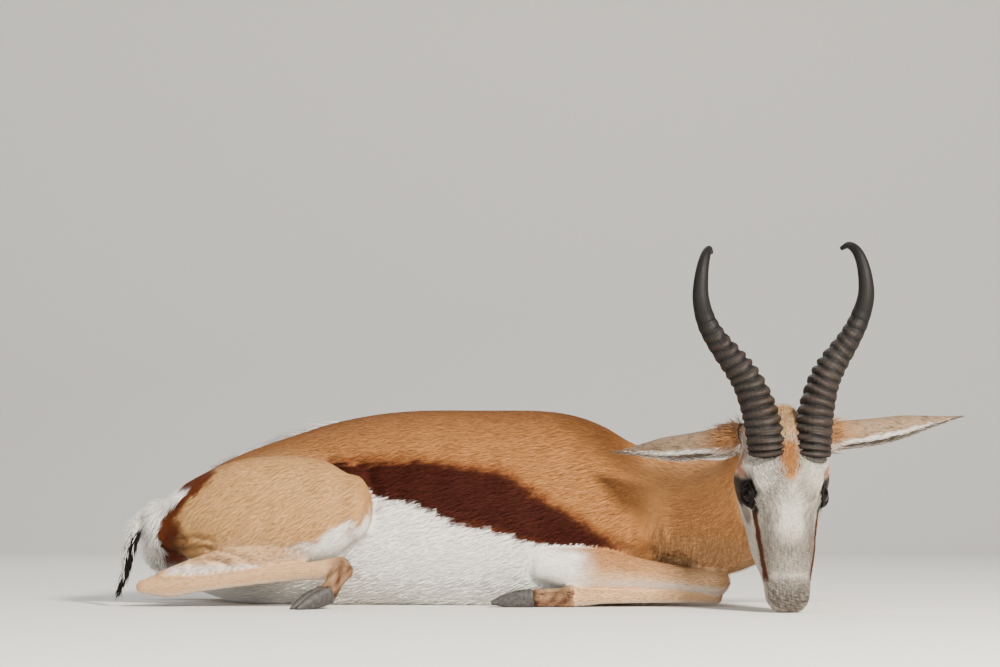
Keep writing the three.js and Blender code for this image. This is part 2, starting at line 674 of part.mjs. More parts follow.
// Long white hair of the rump patch, flaring round the root of the tail
const PATCH_RINGS = [[0.94, 0.1, 8], [0.58, 0.5, 5]];
const patch = PATCH_RINGS.flatMap(([shrink, out, count]) => Array.from({ length: count }, (_, i) => {
  const angle = (2 * Math.PI * (i + draw(0.3, 0.7))) / count;
  const root = trunkSections.point(0, angle, { shrink, push: -out * trunkSections.bulk(0) });
  const normal = root.clone().sub(V(RUMP_X + 60, 4, 84)).normalize();
  const towards = normal.clone().add(V(-0.8, 0, -0.45));
  const face = V(0, 1, draw(-0.7, 0.7));
  return lockSolid({ root, towards, normal: face, length: draw(30, 40), width: draw(14, 18), sag: 4 });
}));
const TUFT_LOCKS = 8;

// Trunk, neck and tail
const tail = solid(tailShape(0));
const within = (from, to) => block(V(from, -FAR, -FAR), V(to, FAR, FAR));
const trunk = carve(solid(trunkShape(0)), ...legCutters, headInFrame, floor);
const trunkCutter = solid(trunkShape(GAP));
const tailCutter = solid(tailShape(GAP));
const behindLoin = within(-FAR, LOIN_CUT + GAP / 2);
place("rump", join(
  carve(trunk.intersect(within(-FAR, LOIN_CUT - GAP / 2)), tailCutter),
  carve(join(...patch), tailCutter, ...legCutters, floor),
), PALE_TAN);
place("belly", join(
  trunk.intersect(within(LOIN_CUT + GAP / 2, RIB_CUT - GAP / 2)),
  carve(join(...fan), trunkCutter.intersect(behindLoin)),
), FLANK);
place("chest", trunk.intersect(within(RIB_CUT + GAP / 2, FAR)), TAN);
place("neck", carve(solid(neckShape(0)), trunkCutter, headInFrame, ...legCutters, floor), TAN);
const tailCurve = new THREE.CatmullRomCurve3(tailLine);
const tuft = Array.from({ length: TUFT_LOCKS }, (_, i) => {
  const share = THREE.MathUtils.lerp(0.36, 0.94, i / TUFT_LOCKS);
  const towards = tailCurve.getTangent(share);
  const normal = TAIL_SIDE.clone().applyAxisAngle(towards, i * 2.4);
  const root = tailCurve.getPoint(share).addScaledVector(normal, 4);
  towards.addScaledVector(normal, draw(0.24, 0.36));
  return lockSolid({ root, towards, normal, length: draw(30, 42), width: draw(9, 12), sag: 3 });
});
place("tail", carve(join(solid(tailShape(0)), ...tuft), ...legCutters, floor), WHITE);

export default animal;
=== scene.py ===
# %% [markdown]
# # A springbok at rest, life size
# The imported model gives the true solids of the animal: trunk, neck, head, legs, horns, ears and
# hooves. This file dresses them. One skin goes over all the flesh, with a coat of hair on it, and
# horns, eyes and hooves are made again with the detail that the real ones have.
# Everything is in metres in the model's own frame: X from rump to breast, Z up from the floor,
# and the face turned towards -Y. The animal's right side is the near one.

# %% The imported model
import math

import bmesh
import bpy
import numpy as np
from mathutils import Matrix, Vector
from mathutils.kdtree import KDTree


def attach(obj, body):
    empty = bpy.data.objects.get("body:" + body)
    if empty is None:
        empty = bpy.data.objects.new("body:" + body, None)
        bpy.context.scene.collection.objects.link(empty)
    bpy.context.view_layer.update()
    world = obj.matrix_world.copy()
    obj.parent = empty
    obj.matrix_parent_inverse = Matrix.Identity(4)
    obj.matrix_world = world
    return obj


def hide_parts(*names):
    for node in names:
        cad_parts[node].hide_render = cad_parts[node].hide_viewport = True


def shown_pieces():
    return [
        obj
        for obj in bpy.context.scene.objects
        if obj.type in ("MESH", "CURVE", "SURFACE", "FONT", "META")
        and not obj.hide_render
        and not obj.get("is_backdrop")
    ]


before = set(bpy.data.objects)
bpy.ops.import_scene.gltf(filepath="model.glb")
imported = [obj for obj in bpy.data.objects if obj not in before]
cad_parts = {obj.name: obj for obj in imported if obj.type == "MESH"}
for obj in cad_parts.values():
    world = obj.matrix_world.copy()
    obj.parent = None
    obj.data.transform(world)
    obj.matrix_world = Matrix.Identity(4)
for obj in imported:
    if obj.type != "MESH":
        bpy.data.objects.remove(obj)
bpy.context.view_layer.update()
chance = np.random.default_rng(11)
MM = 0.001

# %% [markdown]
# ## Camera
# A long lens low down, a little above the floor, looks along +Y and slightly up, as the
# photograph does. A 90 mm lens three metres away keeps the head and the rump in true proportion.

# %% Camera
camera = bpy.data.objects.new("camera", bpy.data.cameras.new("camera"))
camera.data.lens = 90
camera.data.sensor_width = 36
camera.location = (0.061, -3.05, 0.13)
camera.rotation_euler = (math.radians(93.7), 0, 0)
bpy.context.collection.objects.link(camera)
bpy.context.scene.camera = camera
print("camera at", tuple(round(x, 3) for x in camera.location))

# %% [markdown]
# ## Small tools
# Colours are picked as sRGB hex codes, which is how a colour picker shows them, but shaders work
# in linear light, so one function turns one into the other. A few more build a material from
# nodes, turn arrays of points and faces into an object, and read or write the arrays of a mesh.


# %% Small tools for materials
def linear(code):
    """An sRGB hex code as a linear colour."""
    parts = np.array([int(code[i:i + 2], 16) / 255 for i in (0, 2, 4)])
    return np.where(parts <= 0.04045, parts / 12.92, ((parts + 0.055) / 1.055) ** 2.4)


def material(name):
    """An empty node material and its tree."""
    made = bpy.data.materials.new(name)
    made.use_nodes = True
    made.node_tree.nodes.clear()
    return made, made.node_tree


def add(tree, kind, inputs=None, **properties):
    """Adds a node. An input is a value, or the node or the socket that feeds it."""
    made = tree.nodes.new("ShaderNode" + kind)
    for name, value in properties.items():
        setattr(made, name, value)
    for name, value in (inputs or {}).items():
        if isinstance(value, bpy.types.Node):
            value = value.outputs[0]
        if isinstance(value, bpy.types.NodeSocket):
            tree.links.new(value, made.inputs[name])
        else:
            made.inputs[name].default_value = value
    return made


def ramp(tree, value, *stops):
    """A run of colours. Each stop is its place and its hex code."""
    made = add(tree, "ValToRGB", {"Fac": value})
    elements = made.color_ramp.elements
    for place, _ in stops[2:]:
        elements.new(place)
    for element, (place, code) in zip(elements, stops):
        element.position, element.color = place, (*linear(code), 1)
    return made


def noise(tree, vector, scale, detail, **more):
    return add(tree, "TexNoise", {"Vector": vector, "Scale": scale, "Detail": detail, **more})


def finish(tree, values):
    """Ends a material with one principled shader."""
    shader = add(tree, "BsdfPrincipled", values)
    add(tree, "OutputMaterial", {"Surface": shader})


# %% Small tools for meshes
FIELDS = {"FLOAT": "value", "FLOAT_VECTOR": "vector", "FLOAT_COLOR": "color"}


def mesh_from(name, points, faces):
    """An object from points in millimetres and faces of three or four corners each."""
    faces = [np.asarray(part) for part in (faces if isinstance(faces, list) else [faces])]
    counts = np.concatenate([np.full(len(part), part.shape[1]) for part in faces])
    corners = np.concatenate([part.ravel() for part in faces])
    mesh = bpy.data.meshes.new(name)
    mesh.vertices.add(len(points))
    mesh.vertices.foreach_set("co", (np.asarray(points) * MM).astype(np.float32).ravel())
    mesh.loops.add(len(corners))
    mesh.loops.foreach_set("vertex_index", corners.astype(np.int32))
    mesh.polygons.add(len(counts))
    starts = np.concatenate([[0], np.cumsum(counts)[:-1]])
    mesh.polygons.foreach_set("loop_start", starts.astype(np.int32))
    mesh.update(calc_edges=True)
    mesh.shade_smooth()
    made = bpy.data.objects.new(name, mesh)
    bpy.context.collection.objects.link(made)
    return made


def read(items, field, width, kind=np.float32):
    """One field of a mesh's points, edges or faces, as an array with so many columns."""
    flat = np.empty(len(items) * width, kind)
    items.foreach_get(field, flat)
    return flat.reshape(-1, width)


def points_of(mesh):
    """A mesh's points in millimetres."""
    return read(mesh.vertices, "co", 3).astype(float) / MM


def set_points(mesh, points):
    mesh.vertices.foreach_set("co", (points * MM).astype(np.float32).ravel())
    mesh.update()


def normals_of(mesh):
    return read(mesh.vertices, "normal", 3).astype(float)


def edges_of(mesh):
    return read(mesh.edges, "vertices", 2, np.int32)


def set_attribute(obj, name, kind, values):
    """Keeps a number, a vector or a colour for each point of an object."""
    made = obj.data.attributes.new(name, kind, "POINT")
    if kind == "FLOAT_COLOR":
        values = np.concatenate([values, np.ones((len(values), 1))], 1)
    made.data.foreach_set(FIELDS[kind], np.ascontiguousarray(values, np.float32).ravel())


def circle(sides):
    """Even angles all the way round."""
    return np.linspace(0, 2 * math.pi, sides, endpoint=False)


def unit(vectors):
    return vectors / np.maximum(np.linalg.norm(vectors, axis=-1, keepdims=True), 1e-9)


def ease(low, high, value):
    """From 0 at low to 1 at high, level at both ends."""
    share = np.clip((value - low) / (high - low), 0, 1)
    return share * share * (3 - 2 * share)



# %% [markdown]
# ## Studio
# The animal lies on a plain pale floor that sweeps up behind it, so no horizon crosses the
# picture. The sun of the photograph is a large soft lamp high on the right, a weaker one opens
# the shadows from the left, and one from behind picks out the edge of the coat.

# %% Floor
FLOOR_HALF, WALL_TOP = 6000, 5000
SWEEP_AT, SWEEP_RADIUS = 2600, 1500
bend = np.linspace(0, math.pi / 2, 24)
profile = np.concatenate([
    [[-FLOOR_HALF, 0], [0, 0]],
    np.stack([SWEEP_AT + SWEEP_RADIUS * np.sin(bend), SWEEP_RADIUS * (1 - np.cos(bend))], 1),
    [[SWEEP_AT + SWEEP_RADIUS, WALL_TOP]],
])
floor_points = np.array([[x, y, z] for x in (-FLOOR_HALF, FLOOR_HALF) for y, z in profile])
row = np.arange(len(profile) - 1)
floor_faces = np.stack([row, row + len(profile), row + len(profile) + 1, row + 1], 1)
floor = mesh_from("studio_floor", floor_points, floor_faces)
paper, tree = material("pale_paper_floor")
# Matt paper of a warm pale grey, so that the white belly still stands out from it.
finish(tree, {"Base Color": (*linear("dedad2"), 1), "Roughness": 0.85})
floor.data.materials.append(paper)
floor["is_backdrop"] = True


# %% Lamps
def lamp(name, place, target, power, size, colour):
    """A square soft light that faces its target."""
    data = bpy.data.lights.new(name, "AREA")
    data.energy, data.size, data.color = power, size, colour
    made = bpy.data.objects.new(name, data)
    made.location = place
    made.rotation_euler = (Vector(target) - Vector(place)).to_track_quat("-Z", "Y").to_euler()
    bpy.context.collection.objects.link(made)


AIM = (0.1, -0.05, 0.15)
lamp("key_lamp", (1.6, -2.5, 1.9), AIM, 290, 0.6, (1, 0.95, 0.87))
lamp("fill_lamp", (-1.8, -2.6, 0.9), AIM, 55, 2.2, (0.94, 0.97, 1))
lamp("edge_lamp", (-0.6, 2.0, 2.2), AIM, 30, 1.4, (1, 0.98, 0.95))
world = bpy.data.worlds.new("studio_air")
world.use_nodes = True
world.node_tree.nodes["Background"].inputs["Color"].default_value = (0.86, 0.9, 1, 1)
world.node_tree.nodes["Background"].inputs["Strength"].default_value = 0.5
bpy.context.scene.world = world
print("studio ready")

# %% [markdown]
# ## Forms that follow a bone
# A limb, a neck and a trunk are all a curve with a section on it that changes along the way. A
# key holds one section: its place, half width, half height above and below, how square it is,
# its twist, and how far the top and the foot draw in. A smooth line through the keys gives every
# section between them, so ten rows describe a whole trunk.


# %% Sections along a curve
def glide(values, u, extend=False):
    """Smooth values through a list of rows, u from 0 to 1."""
    values = np.asarray(values, float)
    count = len(values) - 1
    place = np.clip(u, 0, 1) * count
    i = np.minimum(count - 1, place.astype(int))
    first = 2 * values[0] - values[1] if extend else values[0]
    last = 2 * values[-1] - values[-2] if extend else values[-1]
    rows = np.concatenate([[first], values, [last]])
    p, a, b, q = rows[i], rows[i + 1], rows[i + 2], rows[i + 3]
    t = (place - i)[..., None] if values.ndim > 1 else place - i
    return a + 0.5 * t * (b - p + t * (2 * p - 5 * a + 4 * b - q + t * (3 * (a - b) + q - p)))


def key(at, wide, up, down=None, square=2.0, twist=0.0, top=0.0, foot=0.0):
    return [*at, wide, up, up if down is None else down, square, twist, top, foot]


def surface(keys, u, angle, side=(0, 1, 0), axis=None, grow=0.0, shrink=1.0, push=0.0):
    """Points of a form in millimetres, at shares u of its length and angles round it."""
    keys = np.asarray(keys, float)
    centre = glide(keys[:, :3], u, extend=True)
    wide, up, down, square, twist, top, foot = np.moveaxis(glide(keys[:, 3:], u), -1, 0)
    near = np.clip(np.stack([u - 1e-3, u + 1e-3]), 0, 1)
    ends = glide(keys[:, :3], near, extend=True)
    along = unit(ends[1] - ends[0]) if axis is None else np.broadcast_to(axis, centre.shape)
    lift = unit(np.cross(along, side))
    across = np.cross(lift, along)
    c, s = np.cos(np.radians(twist))[..., None], np.sin(np.radians(twist))[..., None]
    lift, across = (v * c + np.cross(along, v) * s for v in (lift, across))
    c, s = np.cos(angle), np.sin(angle)
    draw = 1 - np.where(s > 0, top, foot) * s * s
    x = np.sign(c) * np.abs(c) ** (2 / square) * (wide + grow) * draw * shrink
    y = np.sign(s) * np.abs(s) ** (2 / square) * (np.where(s > 0, up, down) + grow) * shrink
    push = np.broadcast_to(push, x.shape)
    return centre + along * push[..., None] + across * x[..., None] + lift * y[..., None]


# %% Closed forms
def rows_to_faces(count, sides, poles=None):
    """Faces between rings of points, closed at both ends where poles are given."""
    i, k = np.meshgrid(np.arange(count - 1), np.arange(sides), indexing="ij")
    nxt = (k + 1) % sides
    quads = np.stack([i * sides + k, i * sides + nxt, (i + 1) * sides + nxt, (i + 1) * sides + k], -1)
    quads = quads.reshape(-1, 4)
    if poles is None:
        return [quads]
    k = np.arange(sides)
    nxt = (k + 1) % sides
    last = (count - 1) * sides
    first_fan = np.stack([nxt, k, np.full(sides, poles[0])], 1)
    last_fan = np.stack([last + k, last + nxt, np.full(sides, poles[1])], 1)
    return [quads, np.concatenate([first_fan, last_fan])]


def loft(keys, rings=60, sides=72, grow=0.0, domes=(1, 1), dome_rings=6, **options):
    """A closed form with rounded ends: points, faces, and the share and angle of each point."""
    keys = np.asarray(keys, float)
    bulk = np.minimum(keys[:, 3], keys[:, 4])
    turn = np.linspace(0, math.pi / 2, dome_rings + 2)[1:-1]
    u = np.concatenate([np.zeros(dome_rings), np.linspace(0, 1, rings), np.ones(dome_rings)])
    shrink = np.concatenate([np.cos(turn[::-1]), np.ones(rings), np.cos(turn)])
    start_out = -(domes[0] * bulk[0] + grow) * np.sin(turn[::-1])
    end_out = (domes[1] * bulk[-1] + grow) * np.sin(turn)
    push = np.concatenate([start_out, np.zeros(rings), end_out])
    angle = circle(sides)
    wide_u, wide_angle = np.broadcast_arrays(u[:, None], angle)
    points = surface(keys, wide_u, wide_angle, grow=grow, push=push[:, None],
                     shrink=shrink[:, None], **options)
    poles = [points[0].mean(0), points[-1].mean(0)]
    count = len(u) * sides
    faces = rows_to_faces(len(u), sides, (count, count + 1))
    place = np.stack([wide_u.ravel(), wide_angle.ravel()], 1)
    return (np.concatenate([points.reshape(-1, 3), poles]), faces,
            np.concatenate([place, [[0, 0], [1, 0]]]))


def swell(points, spots):
    """Moves the points near each spot by its push, fading with distance."""
    move = np.zeros_like(points)
    for at, size, push in spots:
        away = ((points - np.array(at)) ** 2).sum(-1) / size ** 2
        move += np.exp(-away)[:, None] * np.array(push)
    return points + move


# %% [markdown]
# ## The flesh
# The same named sizes as the solids give the forms of the flesh, but smooth and each a little
# smaller, because the coat lies on top of it: three millimetres on the trunk, about one on the
# face and the lower legs.

# %% Sizes of the animal
TRUNK_LENGTH, TRUNK_DEPTH, TRUNK_WIDTH = 650, 272, 212
FEMUR, SHIN, HIND_CANNON = 186, 236, 212
FOREARM, FORE_CANNON = 184, 172
PASTERN, HOOF_LENGTH, TAIL_LENGTH = 42, 50, 170
RUMP_X = -362
HEAD_AT = np.array([378, -235, 0])
HEAD_TURN = math.radians(5)
TURN = np.array([
    [math.cos(HEAD_TURN), -math.sin(HEAD_TURN), 0],
    [math.sin(HEAD_TURN), math.cos(HEAD_TURN), 0],
    [0, 0, 1],
])


def head_out(points):
    """From the head's own frame, face towards -Y, into the animal's."""
    return np.asarray(points, float) @ TURN.T + HEAD_AT


def head_in(points):
    """From the animal's frame into the head's own."""
    return (np.asarray(points, float) - HEAD_AT) @ TURN


def reach(start, length, heading, rise):
    """The next joint along a bone, by heading about Z and rise above level, in degrees."""
    h, r = math.radians(heading), math.radians(rise)
    step = np.array([math.cos(r) * math.cos(h), math.cos(r) * math.sin(h), math.sin(r)])
    return np.asarray(start, float) + length * step


def between(a, b, share, lift=0.0):
    return np.asarray(a) + (np.asarray(b) - a) * share + np.array([0, 0, lift])

# %% [markdown]
# The trunk lies rolled on its side, so its keys are turned, most at the rump and least at the
# breast. Soft pushes at single places then bring out shoulder, elbow and withers.


# %% Trunk, neck and tail
def trunk_key(share, across, height, deep, broad, roll):
    at = (RUMP_X + share * TRUNK_LENGTH, across, height)
    return key(at, broad * TRUNK_WIDTH / 2, deep * TRUNK_DEPTH / 2,
               square=2.15, twist=-roll, top=0.08)


TRUNK = [
    trunk_key(0.02, 16, 84, 0.3, 0.38, 42), trunk_key(0.07, 14, 82, 0.5, 0.58, 42),
    trunk_key(0.16, 10, 88, 0.71, 0.78, 41), trunk_key(0.3, 4, 100, 0.89, 0.9, 40),
    trunk_key(0.45, 0, 111, 0.97, 0.98, 38), trunk_key(0.6, 0, 109, 1, 1.02, 36),
    trunk_key(0.75, 0, 104, 0.98, 1, 30), trunk_key(0.87, -4, 92, 0.79, 0.92, 24),
    trunk_key(0.96, -8, 80, 0.62, 0.74, 15), trunk_key(1, -10, 72, 0.47, 0.58, 10),
]
TRUNK_SPOTS = [
    ((222, -92, 112), 58, (2, -9, 0)), ((168, -104, 80), 52, (0, -9, 2)),
    ((215, 84, 100), 62, (2, 9, 0)), ((165, 92, 72), 52, (0, 8, 2)),
    ((150, -30, 208), 60, (0, -3, 4)), ((-84, -104, 128), 46, (0, 4, -1)),
]
NECK = [
    key((150, 24, 126), 84, 82, 90), key((235, -14, 116), 76, 74, 84),
    key((300, -75, 108), 64, 68, 78), key((345, -140, 120), 54, 60, 70),
    key((374, -196, 156), 44, 54, 56),
]
TAIL_ROOT = np.array([RUMP_X + 22, -6, 112])
TAIL_BEND = reach(TAIL_ROOT, TAIL_LENGTH * 0.34, 236, -22)
TAIL_LOW = reach(TAIL_BEND, TAIL_LENGTH * 0.36, 250, -56)
TAIL_TIP = reach(TAIL_LOW, TAIL_LENGTH * 0.12, 255, -50)
TAIL_SIDE = (0.6, -0.8, 0)
TAIL = [
    key(at, wide, up)
    for at, wide, up in zip((TAIL_ROOT, TAIL_BEND, TAIL_LOW, TAIL_TIP), (15, 9, 5, 3), (12, 7, 4, 3))
]


# %% Joints of the legs
def hind_leg(mirror, hip, femur, shin, cannon, pastern, hoof, lean, bulk):
    """Joints of a folded hind leg. mirror is -1 for the animal's right leg."""
    joints = {"hip": np.array([RUMP_X + 72, mirror * hip[0], hip[1]])}
    steps = (("stifle", FEMUR, femur), ("hock", SHIN, shin), ("fetlock", HIND_CANNON, cannon),
             ("heel", PASTERN, pastern))
    last = joints["hip"]
    for name, length, (heading, rise) in steps:
        last = joints[name] = reach(last, length, mirror * heading, rise)
    return {**joints, "mirror": mirror, "lean": lean, "bulk": bulk, "side": "hind",
            "toe": (mirror * hoof[0], hoof[1])}


def fore_leg(mirror, elbow_y):
    elbow = np.array([136, mirror * elbow_y, 48])
    knee = reach(elbow, FOREARM, mirror * 6, -6)
    cannon_top = knee + (-4, -mirror * 13, -15)
    fetlock = reach(cannon_top, FORE_CANNON, 180 - mirror * 5, -1)
    heel = reach(fetlock, PASTERN, 180 - mirror * 2, 0)
    return {"mirror": mirror, "elbow": elbow, "knee": knee, "cannon_top": cannon_top,
            "fetlock": fetlock, "heel": heel, "side": "fore", "toe": (180 - mirror * 2, -2)}


LEGS = {
    "hind_right": hind_leg(-1, (60, 104), (17, 2.5), (178, -21.5), (4, 5.5), (122, -44),
                           (138, -14), 16, 1),
    "hind_left": hind_leg(1, (62, 76), (20, -8), (184, -7), (7, 0), (2, -4), (0, -3), 40, 0.86),
    "fore_right": fore_leg(-1, 104),
    "fore_left": fore_leg(1, 88),
}

# %% [markdown]
# A thigh is a flat heavy muscle and a shank tapers to the hock, where the bone lies just under the
# hide. Below it the cannon is nearly the bare bone, thick at both ends, and the pastern a short
# wedge to the hooves. Each row of numbers is a place along the bone and a half width there.


# %% Forms of the legs
def run(a, b, rows, **common):
    """Keys between two joints: each row is a share, a lift, a half width and a half height."""
    return [key(between(a, b, share, lift), wide, up, **common) for share, lift, wide, up in rows]


def leg_forms(leg):
    """The forms of one leg, each with its keys and the round of its ends."""
    forms = {}
    if leg["side"] == "hind":
        rows = [(-0.24, -9, 0.17, 0.17), (-0.04, -5, 0.25, 0.295), (0.24, 0, 0.29, 0.385),
                (0.54, 2, 0.27, 0.39), (0.82, 2, 0.22, 0.33), (1.02, 4, 0.155, 0.22)]
        size = FEMUR * leg["bulk"]
        forms["thigh"] = run(
            leg["hip"], leg["stifle"], [(s, lift, w * size, h * size) for s, lift, w, h in rows],
            twist=leg["mirror"] * leg["lean"], square=2.2), (0.9, 0.75)
        forms["shank"] = run(leg["stifle"], leg["hock"], [
            (0.26, -16, 21, 25), (0.52, -8, 17, 21), (0.8, 2, 12.5, 16), (1, 3, 12, 15)]), (0.6, 0.7)
        forms["cannon"] = run(leg["hock"], leg["fetlock"], [
            (-0.13, 0, 8, 9), (-0.05, 0, 11.5, 13.5), (0.06, 0, 14, 17), (0.22, 0, 10.5, 13.5),
            (0.6, 0, 9.5, 11.5), (0.86, 0, 10.5, 12.5), (1, 0, 13, 15)]), (0.8, 0.7)
    else:
        forms["forearm"] = run(leg["elbow"], leg["knee"], [
            (-0.14, 4, 22, 26), (0.12, 0, 24, 29), (0.5, 0, 17, 19), (0.84, 0, 13.5, 14.5),
            (1, 0, 15, 16)]), (0.7, 0.8)
        forms["cannon"] = run(leg["cannon_top"], leg["fetlock"], [
            (0, 0, 12, 13), (0.2, 0, 9.5, 10.5), (0.7, 0, 8.5, 9.5), (1, 0, 11.5, 12)]), (0.8, 0.6)
    forms["pastern"] = run(leg["fetlock"], leg["heel"], [
        (0, 0, 13.5, 15), (0.5, 0, 12, 12), (1, 0, 14, 12.5)]), (0.6, 0.3)
    return forms


# %% Head
HEAD = [
    key((0, y, z), wide, front, back, square=square, top=top, foot=foot)
    for z, wide, y, front, back, top, foot, square in (
        (4, 19, -27, 14, 15, 0.25, 0.25, 2.3), (12, 24.5, -26, 19, 19, 0.3, 0.26, 2.3),
        (22, 26, -26, 22, 27, 0.3, 0.16, 2.5), (40, 28.5, -21, 28.5, 29, 0.3, 0.1, 2.7),
        (62, 35.5, 0, 51, 20, 0.32, 0.08, 2.8), (86, 39.5, 10, 62, 22, 0.32, 0.1, 2.8),
        (110, 44.5, 14, 67, 33, 0.28, 0.18, 2.7), (132, 49.5, 0, 55, 57, 0.22, 0.3, 2.6),
        (152, 52, -8, 45, 73, 0.22, 0.3, 2.3), (174, 48, -12, 35, 80, 0.2, 0.32, 2.3),
        (196, 41, -8, 30, 74, 0.14, 0.3, 2.3), (212, 34, 4, 26, 54, 0.1, 0.2, 2.3),
        (222, 22, 12, 18, 30, 0.1, 0.1, 2.3),
    )
]
HEAD_SPOTS = [
    ((way * x, y, z), size, (way * px, py, pz))
    for (x, y, z), size, (px, py, pz) in (
        ((44, -36, 144), 16, (2.5, -2, 0)), ((52, -4, 144), 20, (4.5, 0, 0)),
        ((12, -44, 192), 20, (0, 3, 0)), ((19, -42, 14), 9, (2.5, -1.5, 0)),
        ((40, 24, 124), 22, (1.5, 0, 0)), ((34, -34, 104), 13, (-2, 1.5, 0)),
        ((20, -50, 60), 18, (-1, 1, 0)),
    )
    for way in (1, -1)
]

EAR_ROOT = np.array([38, 14, 195.0])
EAR_AIMS = {1: (0.99, 0.01, 0.138), -1: (-0.775, 0.624, -0.09)}


def ear_base(way):
    """The muscle that fills the root of an ear."""
    aim = unit(np.array(EAR_AIMS[way]))
    return [key(EAR_ROOT * (way, 1, 1) + aim * along, 15, 15) for along in (-14, 0, 12)]


# %% [markdown]
# ## One skin
# The forms overlap like the clay pieces of a sculptor. A voxel remesh melts them into one closed
# surface, and a little smoothing fills the creases as hide does. Each point of the skin then
# looks up the nearest point of the forms, which says what part of the body it is on, how far
# along and how far round: the markings, the lie of the hair and the texture all use that.

# %% The forms in one list
BODY_COAT, LEG_COAT, FACE_COAT = 3.0, 1.4, 1.2
sources = []


def take(part, shape, flow, spots=(), out=None):
    """Keeps a form, with the way its hair lies: 1 along it, -1 back along it, or a direction."""
    points, faces, place = shape
    points = swell(points, spots)
    if out is not None:
        points = out(points)
    sides = len(np.unique(place[:, 1].round(6)))
    sources.append({"part": part, "points": points, "faces": faces, "place": place, "flow": flow,
                    "sides": sides})


take("trunk", loft(TRUNK, 150, 160, -BODY_COAT, (0.6, 0.5)), (-1, 0, -0.35), TRUNK_SPOTS)
take("neck", loft(NECK, 90, 120, -BODY_COAT, (0.4, 0.3), side=(0.7, 0.7, 0)), -1)
take("head", loft(HEAD, 200, 150, -FACE_COAT, (0.35, 0.5), side=(-1, 0, 0), axis=(0, 0, 1)),
     1, HEAD_SPOTS, head_out)
for way in (1, -1):
    take(f"head_ear_base_{way}", loft(ear_base(way), 14, 32, 0, (0.8, 1)), 1, (), head_out)
take("tail", loft(TAIL, 40, 32, -1, (1, 1), side=TAIL_SIDE), 1)
for leg_name, leg in LEGS.items():
    for form, (keys, domes) in leg_forms(leg).items():
        coat = BODY_COAT if form == "thigh" else LEG_COAT
        flow = (-0.75, 0, -0.5) if form == "thigh" else 1
        take(f"{form}_{leg_name}", loft(keys, 60, 56, -coat, domes), flow)
print("forms:", len(sources), "points:", sum(len(s["points"]) for s in sources))

# %% [markdown]
# Voxels a little over two millimetres wide are fine enough for the hock and the lips, and leave
# few enough points to work on.

# %% Melting them together
VOXEL = 2.3
SMOOTHING = 14
FLOOR_CLEAR = 0.4


def remeshed(name, pieces, voxel, rounds):
    """One closed surface round all the pieces, smoothed."""
    points, faces, start = [], [], 0
    for piece in pieces:
        points.append(piece["points"])
        faces += [part + start for part in piece["faces"]]
        start += len(piece["points"])
    made = mesh_from(name, np.concatenate(points), faces)
    step = made.modifiers.new("voxels", "REMESH")
    step.mode = "VOXEL"
    step.voxel_size = voxel * MM
    step = made.modifiers.new("smoothing", "SMOOTH")
    step.factor, step.iterations = 0.5, rounds
    graph = bpy.context.evaluated_depsgraph_get()
    mesh = bpy.data.meshes.new_from_object(made.evaluated_get(graph))
    made.modifiers.clear()
    made.data = mesh
    return made


skin = remeshed("skin", sources, VOXEL, SMOOTHING)
print("skin points:", len(skin.data.vertices))

# %% [markdown]
# Where thick forms meet, the melted surface still shows a valley that hide and muscle would
# fill. So a few places are averaged many times more than the rest.


# %% Softer joins
def even_out(values, edges, rounds, hold=None):
    """Averages values with their neighbours over the skin. hold is how much each point gives way."""
    count = len(values)
    weight = 1.0 + np.bincount(edges.ravel(), minlength=count)
    for _ in range(rounds):
        total = values.copy()
        for k in range(values.shape[1]):
            total[:, k] += np.bincount(edges[:, 0], values[edges[:, 1], k], count)
            total[:, k] += np.bincount(edges[:, 1], values[edges[:, 0], k], count)
        total /= weight[:, None]
        values = total if hold is None else values + (total - values) * hold[:, None]
    return values

SOFT_PLACES = [  # middle, half size, how many rounds of averaging
    ((248, -20, 140), (66, 130, 100), 150),  # neck into shoulder
    ((-250, 0, 182), (120, 130, 46), 130),  # top of the haunch into the back
    ((330, -120, 150), (60, 70, 60), 40),
]
soft_points = points_of(skin.data)
skin_edges = edges_of(skin.data)
for middle, half, rounds in SOFT_PLACES:
    far = np.linalg.norm((soft_points - middle) / half, axis=1)
    soft_points = even_out(soft_points, skin_edges, rounds, ease(1.15, 0.7, far))
set_points(skin.data, soft_points)
print("joins softened at", len(SOFT_PLACES), "places")

# %% [markdown]
# A folded leg gathers loose hide into creases, and muscles show as low ridges. Both are lines
# drawn over the side view, as on a tracing of the photograph, and pressed along the normals.


# %% Folds and muscles of the near side
def near_line(points, line):
    """The least distance from each point to a broken line, and the share along it."""
    line = np.asarray(line, float)
    best = np.full(len(points), 1e9)
    share = np.zeros(len(points))
    for i in range(len(line) - 1):
        step = line[i + 1] - line[i]
        t = np.clip(((points - line[i]) @ step) / (step @ step), 0, 1)
        away = np.linalg.norm(points - line[i] - t[:, None] * step, axis=1)
        closer = away < best
        best = np.where(closer, away, best)
        share = np.where(closer, (i + t) / (len(line) - 1), share)
    return best, share


